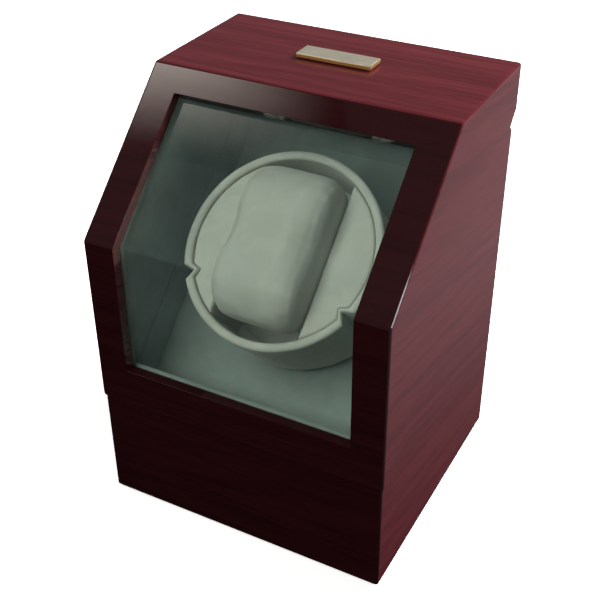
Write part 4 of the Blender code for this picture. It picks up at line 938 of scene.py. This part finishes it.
def makeKnob(sizes):
    low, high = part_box("mode_knob")
    axis = Vector(joints["mode_knob_turn"]["pos_m"])
    radius = (high.x - low.x) / 2
    top = high.y - axis.y
    stemEnd = low.y - axis.y
    stem, bottom, soft = sizes["stem"], sizes["knobGap"], sizes["knobRound"]
    dish = top - sizes["knobDish"]
    profile = [(0, dish), (radius * 0.62, dish), (radius * 0.70, top)]
    profile += arcPoints((radius * 0.92 - soft, top - soft), soft, 90, 10, 4)
    fluted = len(profile)
    profile += [(radius * 0.935, top - 1.2 * mm), (radius * 0.955, top - 3.2 * mm)]
    profile += [(radius * 0.97, bottom + 1.6 * mm)]
    flutedEnd = len(profile)
    profile += [(radius, bottom + 1.2 * mm), (radius, bottom), (stem, bottom), (stem, stemEnd), (0, stemEnd)]

    def flute(angle, index):
        if fluted <= index < flutedEnd:
            return -sizes["fluteDepth"] * (0.5 + 0.5 * math.cos(angle * sizes["flutes"])) ** 2
        return 0

    mesh = turnedMesh(profile, sizes["flutes"] * 8, "selectorKnob", flute)
    mesh.transform(placeOnBack(*axis))
    addPiece("selectorKnob", mesh, blackPlastic, "selector", ("mode_knob",))
    work = bmesh.new()
    size = Matrix.Diagonal((0.7 * mm, radius * 0.55, 0.12 * mm, 1))
    place = Matrix.Translation((0, radius * 0.34, top - 0.22 * mm))
    bmesh.ops.create_cube(work, size=1, matrix=place @ size)
    bmesh.ops.bevel(work, geom=work.edges[:], offset=0.03 * mm, segments=1, affect="EDGES")
    pointer = meshFrom(work, "knobPointer")
    pointer.transform(placeOnBack(*axis))
    addPiece("knobPointer", pointer, ink, "selector")


def inkDisc(radius, height, inner=0.0):
    profile = [(inner, height), (radius, height), (radius, -height), (inner, -height)]
    if inner:
        profile.append((inner, height))
    return turnedMesh(profile, 24, "inkDisc")


def makeMarks(sizes):
    # printed dots round the selector, one for each mode
    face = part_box("control_plate")[1].y
    axis = Vector(joints["mode_knob_turn"]["pos_m"])
    dots = []
    for index in range(sizes["dotCount"]):
        turn = math.radians(90 + sizes["sweep"] / 2 - sizes["sweep"] * index / (sizes["dotCount"] - 1))
        spot = Vector((math.cos(turn), math.sin(turn))) * sizes["dotReach"]
        disc = inkDisc(sizes["dotRadius"] * (sizes["firstDot"] if index == 0 else 1), sizes["inkHeight"])
        place = placeOnBack(axis.x, face, axis.z) @ Matrix.Translation((spot.x, spot.y, 0))
        dots.append((disc, place))
    addPiece("modeDots", joined(dots, "modeDots"), ink, "base")


def makeRockerMarks(sizes):
    # a bar and a ring printed on the two ends of the rocker
    low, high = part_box("power_rocker")
    work = bmesh.new()
    size = Matrix.Diagonal((*sizes["bar"], 2 * sizes["inkHeight"], 1))
    bmesh.ops.create_cube(work, size=1, matrix=size)
    ring = inkDisc(sizes["ring"][0], sizes["inkHeight"], sizes["ring"][1])
    rocker = nodes["power_rocker"].data
    skin = BVHTree.FromPolygons([v.co for v in rocker.vertices], [p.vertices for p in rocker.polygons])
    marks = []
    for mesh, share in zip((meshFrom(work, "offBar"), ring), sizes["markShares"]):
        start = Vector(((low.x + high.x) / 2, high.y + 5 * mm, low.z + share * (high.z - low.z)))
        spot, facing, _, _ = skin.ray_cast(start, Vector((0, -1, 0)))
        place = Matrix.Translation(spot) @ facing.to_track_quat("Z", "Y").to_matrix().to_4x4()
        marks.append((mesh, place))
    addPiece("rockerMarks", joined(marks, "rockerMarks"), ink, "rocker")


def makeInlet(sizes):
    # moulded inlet with a sprung metal sleeve and centre pin
    low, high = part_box("dc_jack")
    place = placeOnBack(*((low + high) / 2))
    radius = (high.x - low.x) / 2
    front, back = (high.y - low.y) / 2, -(high.y - low.y) / 2
    body, bore, pin = radius - sizes["flange"], sizes["bore"], sizes["pin"]
    collar, floor = front - sizes["flange"], back + sizes["floor"]
    lead, soft = sizes["lead"], sizes["round"]
    shell = [(0, floor), (bore, floor), (bore, front - lead), (bore + lead, front)]
    shell += arcPoints((radius - soft, front - soft), soft, 90, 0, 4)
    shell += [(radius, collar), (body, collar), (body, back), (0, back)]
    mesh = turnedMesh(shell, 48, "powerInlet")
    mesh.transform(place)
    addPiece("powerInlet", mesh, blackPlastic, "base", ("dc_jack",))
    outer, inner = bore - sizes["sleeveGap"], bore - sizes["sleeveInside"]
    foot, mouth = floor + 0.1 * mm, front - sizes["sleeveDeep"]
    sleeve = [(outer, foot), (outer, mouth), (inner, mouth), (inner, foot), (outer, foot)]
    centre = arcPoints((0, front - sizes["pinDeep"]), pin, 90, 0, 5)
    centre += [(pin, floor + 0.05 * mm), (0, floor + 0.05 * mm)]
    metal = [(turnedMesh(sleeve, 40, "sleeve"), place), (turnedMesh(centre, 24, "pin"), place)]
    addPiece("inletContacts", joined(metal, "inletMetal"), steel, "base")


makeKnob(controlSizes)
makeMarks(controlSizes)
makeInlet(inletSizes)
easedCopy("control_plate", "controlPlate", blackPlastic, **controlEdges["plate"])
easedCopy("power_switch_body", "powerSwitchBody", blackPlastic, **controlEdges["switch"])
easedCopy("power_rocker", "powerRocker", blackPlastic, **controlEdges["rocker"])
makeRockerMarks(controlSizes)
print("controls made")


keptFinishes = {
    "bare_board": board,
    "steel": steel,
    "brass": brass,
    "black_plastic": blackPlastic,
    "white_plastic": whitePlastic,
    "rubber": rubber,
    "felt": felt,
    "circuit_board": circuit,
}
for name, thing in nodes.items():
    if thing.hide_render:
        continue
    thing.data.materials.clear()
    thing.data.materials.append(keptFinishes[slotOf[name]].material)
print("kept nodes finished")


cameraSetting = {
    "azimuth": 28.2551,
    "elevation": 33.6323,
    "roll": -0.3881,
    "distance": 510.7 * mm,
    "target": (-2.7 * mm, 0, 94.2 * mm),
    "lens": 64.45,
    "sensor": 36,
}


def makeCamera(setting):
    azimuth, elevation = math.radians(setting["azimuth"]), math.radians(setting["elevation"])
    back = Vector((math.sin(azimuth) * math.cos(elevation), -math.cos(azimuth) * math.cos(elevation),
                   math.sin(elevation)))
    right = Vector((0, 0, 1)).cross(back).normalized()
    up = back.cross(right)
    turn = Matrix((right, up, back)).transposed().to_4x4()
    lens = bpy.data.cameras.new("studioCamera")
    lens.lens = setting["lens"]
    lens.sensor_width = setting["sensor"]
    lens.clip_start = 0.01
    camera = bpy.data.objects.new("studioCamera", lens)
    place = Matrix.Translation(Vector(setting["target"]) + back * setting["distance"])
    camera.matrix_world = place @ turn @ Matrix.Rotation(math.radians(setting["roll"]), 4, "Z")
    scene.collection.objects.link(camera)
    scene.camera = camera


makeCamera(cameraSetting)

floorSetting = {
    "size": 6.0,
    "pale": (0.86, 0.86, 0.85),
    "glow": 0.60,
    "near": (0.008, 0.009, 0.012),  # what the lacquer mirrors in front
    "far": (0.29, 0.25, 0.26),  # to the right
    "behind": (0.80, 0.79, 0.78),
    "drop": 0.2 * mm,
    "cloudScale": 3.0,
    "cloudShade": 0.99,
    "lean": 0.25,  # how far the border on the right turns with the distance
    "rightEnds": (0.03, 0.22),
    "behindEnds": (0.5, 1.3),
}


def makeFloor(setting):
    # pale to the camera; every other ray meets a room that is dark in front and pale behind
    work = bmesh.new()
    bmesh.ops.create_grid(work, x_segments=8, y_segments=8, size=setting["size"] / 2)
    mesh = meshFrom(work, "studioFloor")
    floor = bpy.data.objects.new("studioFloor", mesh)
    floor.location.z = -setting["drop"]
    scene.collection.objects.link(floor)
    finish = Finish("studioFloor", {"Roughness": 0.9, "Specular IOR Level": 0.1})
    spot = finish.spot()
    cloud = finish.grain(spot, setting["cloudScale"], 2.0)
    pale = setting["pale"]
    finish.drive("Base Color", finish.blend(cloud, [c * setting["cloudShade"] for c in pale], pale))
    finish.shader.inputs["Emission Color"].default_value = (*pale, 1)
    finish.shader.inputs["Emission Strength"].default_value = setting["glow"]
    across = finish.part(spot, 0) + finish.part(spot, 1) * setting["lean"]
    mirrored = finish.blend(finish.rise(across, *setting["rightEnds"]), setting["near"], setting["far"])
    deep = finish.rise(finish.part(spot, 1), *setting["behindEnds"])
    mirrored = finish.blend(deep, mirrored, setting["behind"])
    room = finish.add("ShaderNodeEmission", None, {"Color": mirrored})
    seen = finish.add("ShaderNodeLightPath", output="Is Camera Ray")
    lit = Reading(finish, finish.shader.outputs[0])
    both = finish.add("ShaderNodeMixShader", None, {0: seen, 1: room, 2: lit})
    finish.tree.links.new(both.socket, finish.tree.nodes["Material Output"].inputs["Surface"])
    mesh.materials.append(finish.material)


makeFloor(floorSetting)

lampSettings = {
    "key": {"spot": (0.75, 0.85, 0.90), "aim": (0, 0, 0.1), "size": (0.7, 0.7), "power": 57},
    "window": {"spot": (-0.20, -0.72, 0.82), "aim": (0, 0, 0.1), "size": (0.6, 0.6), "power": 8.4},
}
# cards are only seen mirrored in the lacquer and the glass, so each has its own soft border
cardSettings = {
    "upperLeft": {"spot": (-0.66, -0.24, 1.0), "aim": (-0.66, -0.24, 0), "size": (0.62, 0.44), "glow": 7.5,
                  "colour": (1.0, 0.88, 0.80), "soft": 0.95},
    "rightStreak": {"spot": (1.004, -0.143, 0.505), "aim": (0.0725, -0.055, 0.155), "size": (0.95, 0.10),
                    "along": (0.32, 0.65, -0.69), "glow": 13.0, "colour": (0.78, 0.90, 1.0), "soft": 0.6},
}


def placeFacing(thing, setting):
    thing.location = setting["spot"]
    back = (Vector(setting["spot"]) - Vector(setting["aim"])).normalized()
    up = back.cross(Vector(setting.get("along", (1, 0, 0)))).normalized()
    thing.rotation_euler = Matrix((up.cross(back), up, back)).transposed().to_euler()
    scene.collection.objects.link(thing)


def makeLamp(name, setting):
    light = bpy.data.lights.new(name, "AREA")
    light.shape = "RECTANGLE"
    light.size, light.size_y = setting["size"]
    light.energy = setting["power"]
    lamp = bpy.data.objects.new(name, light)
    placeFacing(lamp, setting)
    lamp.visible_glossy = False


def makeCard(name, setting):
    work = bmesh.new()
    place = Matrix.Diagonal((*setting["size"], 1, 1))
    bmesh.ops.create_grid(work, x_segments=4, y_segments=4, size=0.5, matrix=place)
    card = bpy.data.objects.new(name, meshFrom(work, name))
    placeFacing(card, setting)
    finish = Finish(name, {"Roughness": 1.0, "Base Color": (0, 0, 0, 1)})
    spot = finish.spot()
    inside = None
    for axis in range(2):
        share = finish.part(spot, axis) * (2 / setting["size"][axis])
        share = finish.rise(1 - finish.maths("ABSOLUTE", share), 0.0, setting["soft"])
        inside = share if inside is None else inside * share
    light = finish.blend(inside, (0, 0, 0), setting["colour"])
    finish.drive("Emission Color", light)
    finish.shader.inputs["Emission Strength"].default_value = setting["glow"]
    card.data.materials.append(finish.material)
    for kind in ("camera", "shadow", "diffuse", "transmission"):
        setattr(card, "visible_" + kind, False)


for name, setting in lampSettings.items():
    makeLamp(name, setting)
for name, setting in cardSettings.items():
    makeCard(name, setting)

worldSetting = {"seen": (0.92, 0.92, 0.91), "around": (0.10, 0.10, 0.105)}


def makeWorld(setting):
    world = bpy.data.worlds.new("studio")
    world.use_nodes = True
    tree = world.node_tree
    shown = tree.nodes["Background"]
    shown.inputs["Color"].default_value = (*setting["seen"], 1)
    around = tree.nodes.new("ShaderNodeBackground")
    around.inputs["Color"].default_value = (*setting["around"], 1)
    path = tree.nodes.new("ShaderNodeLightPath")
    both = tree.nodes.new("ShaderNodeMixShader")
    for index, socket in enumerate((path.outputs["Is Camera Ray"], around.outputs[0], shown.outputs[0])):
        tree.links.new(socket, both.inputs[index])
    tree.links.new(both.outputs[0], tree.nodes["World Output"].inputs["Surface"])
    scene.world = world


makeWorld(worldSetting)
scene.view_settings.view_transform = "Standard"
print("studio set")
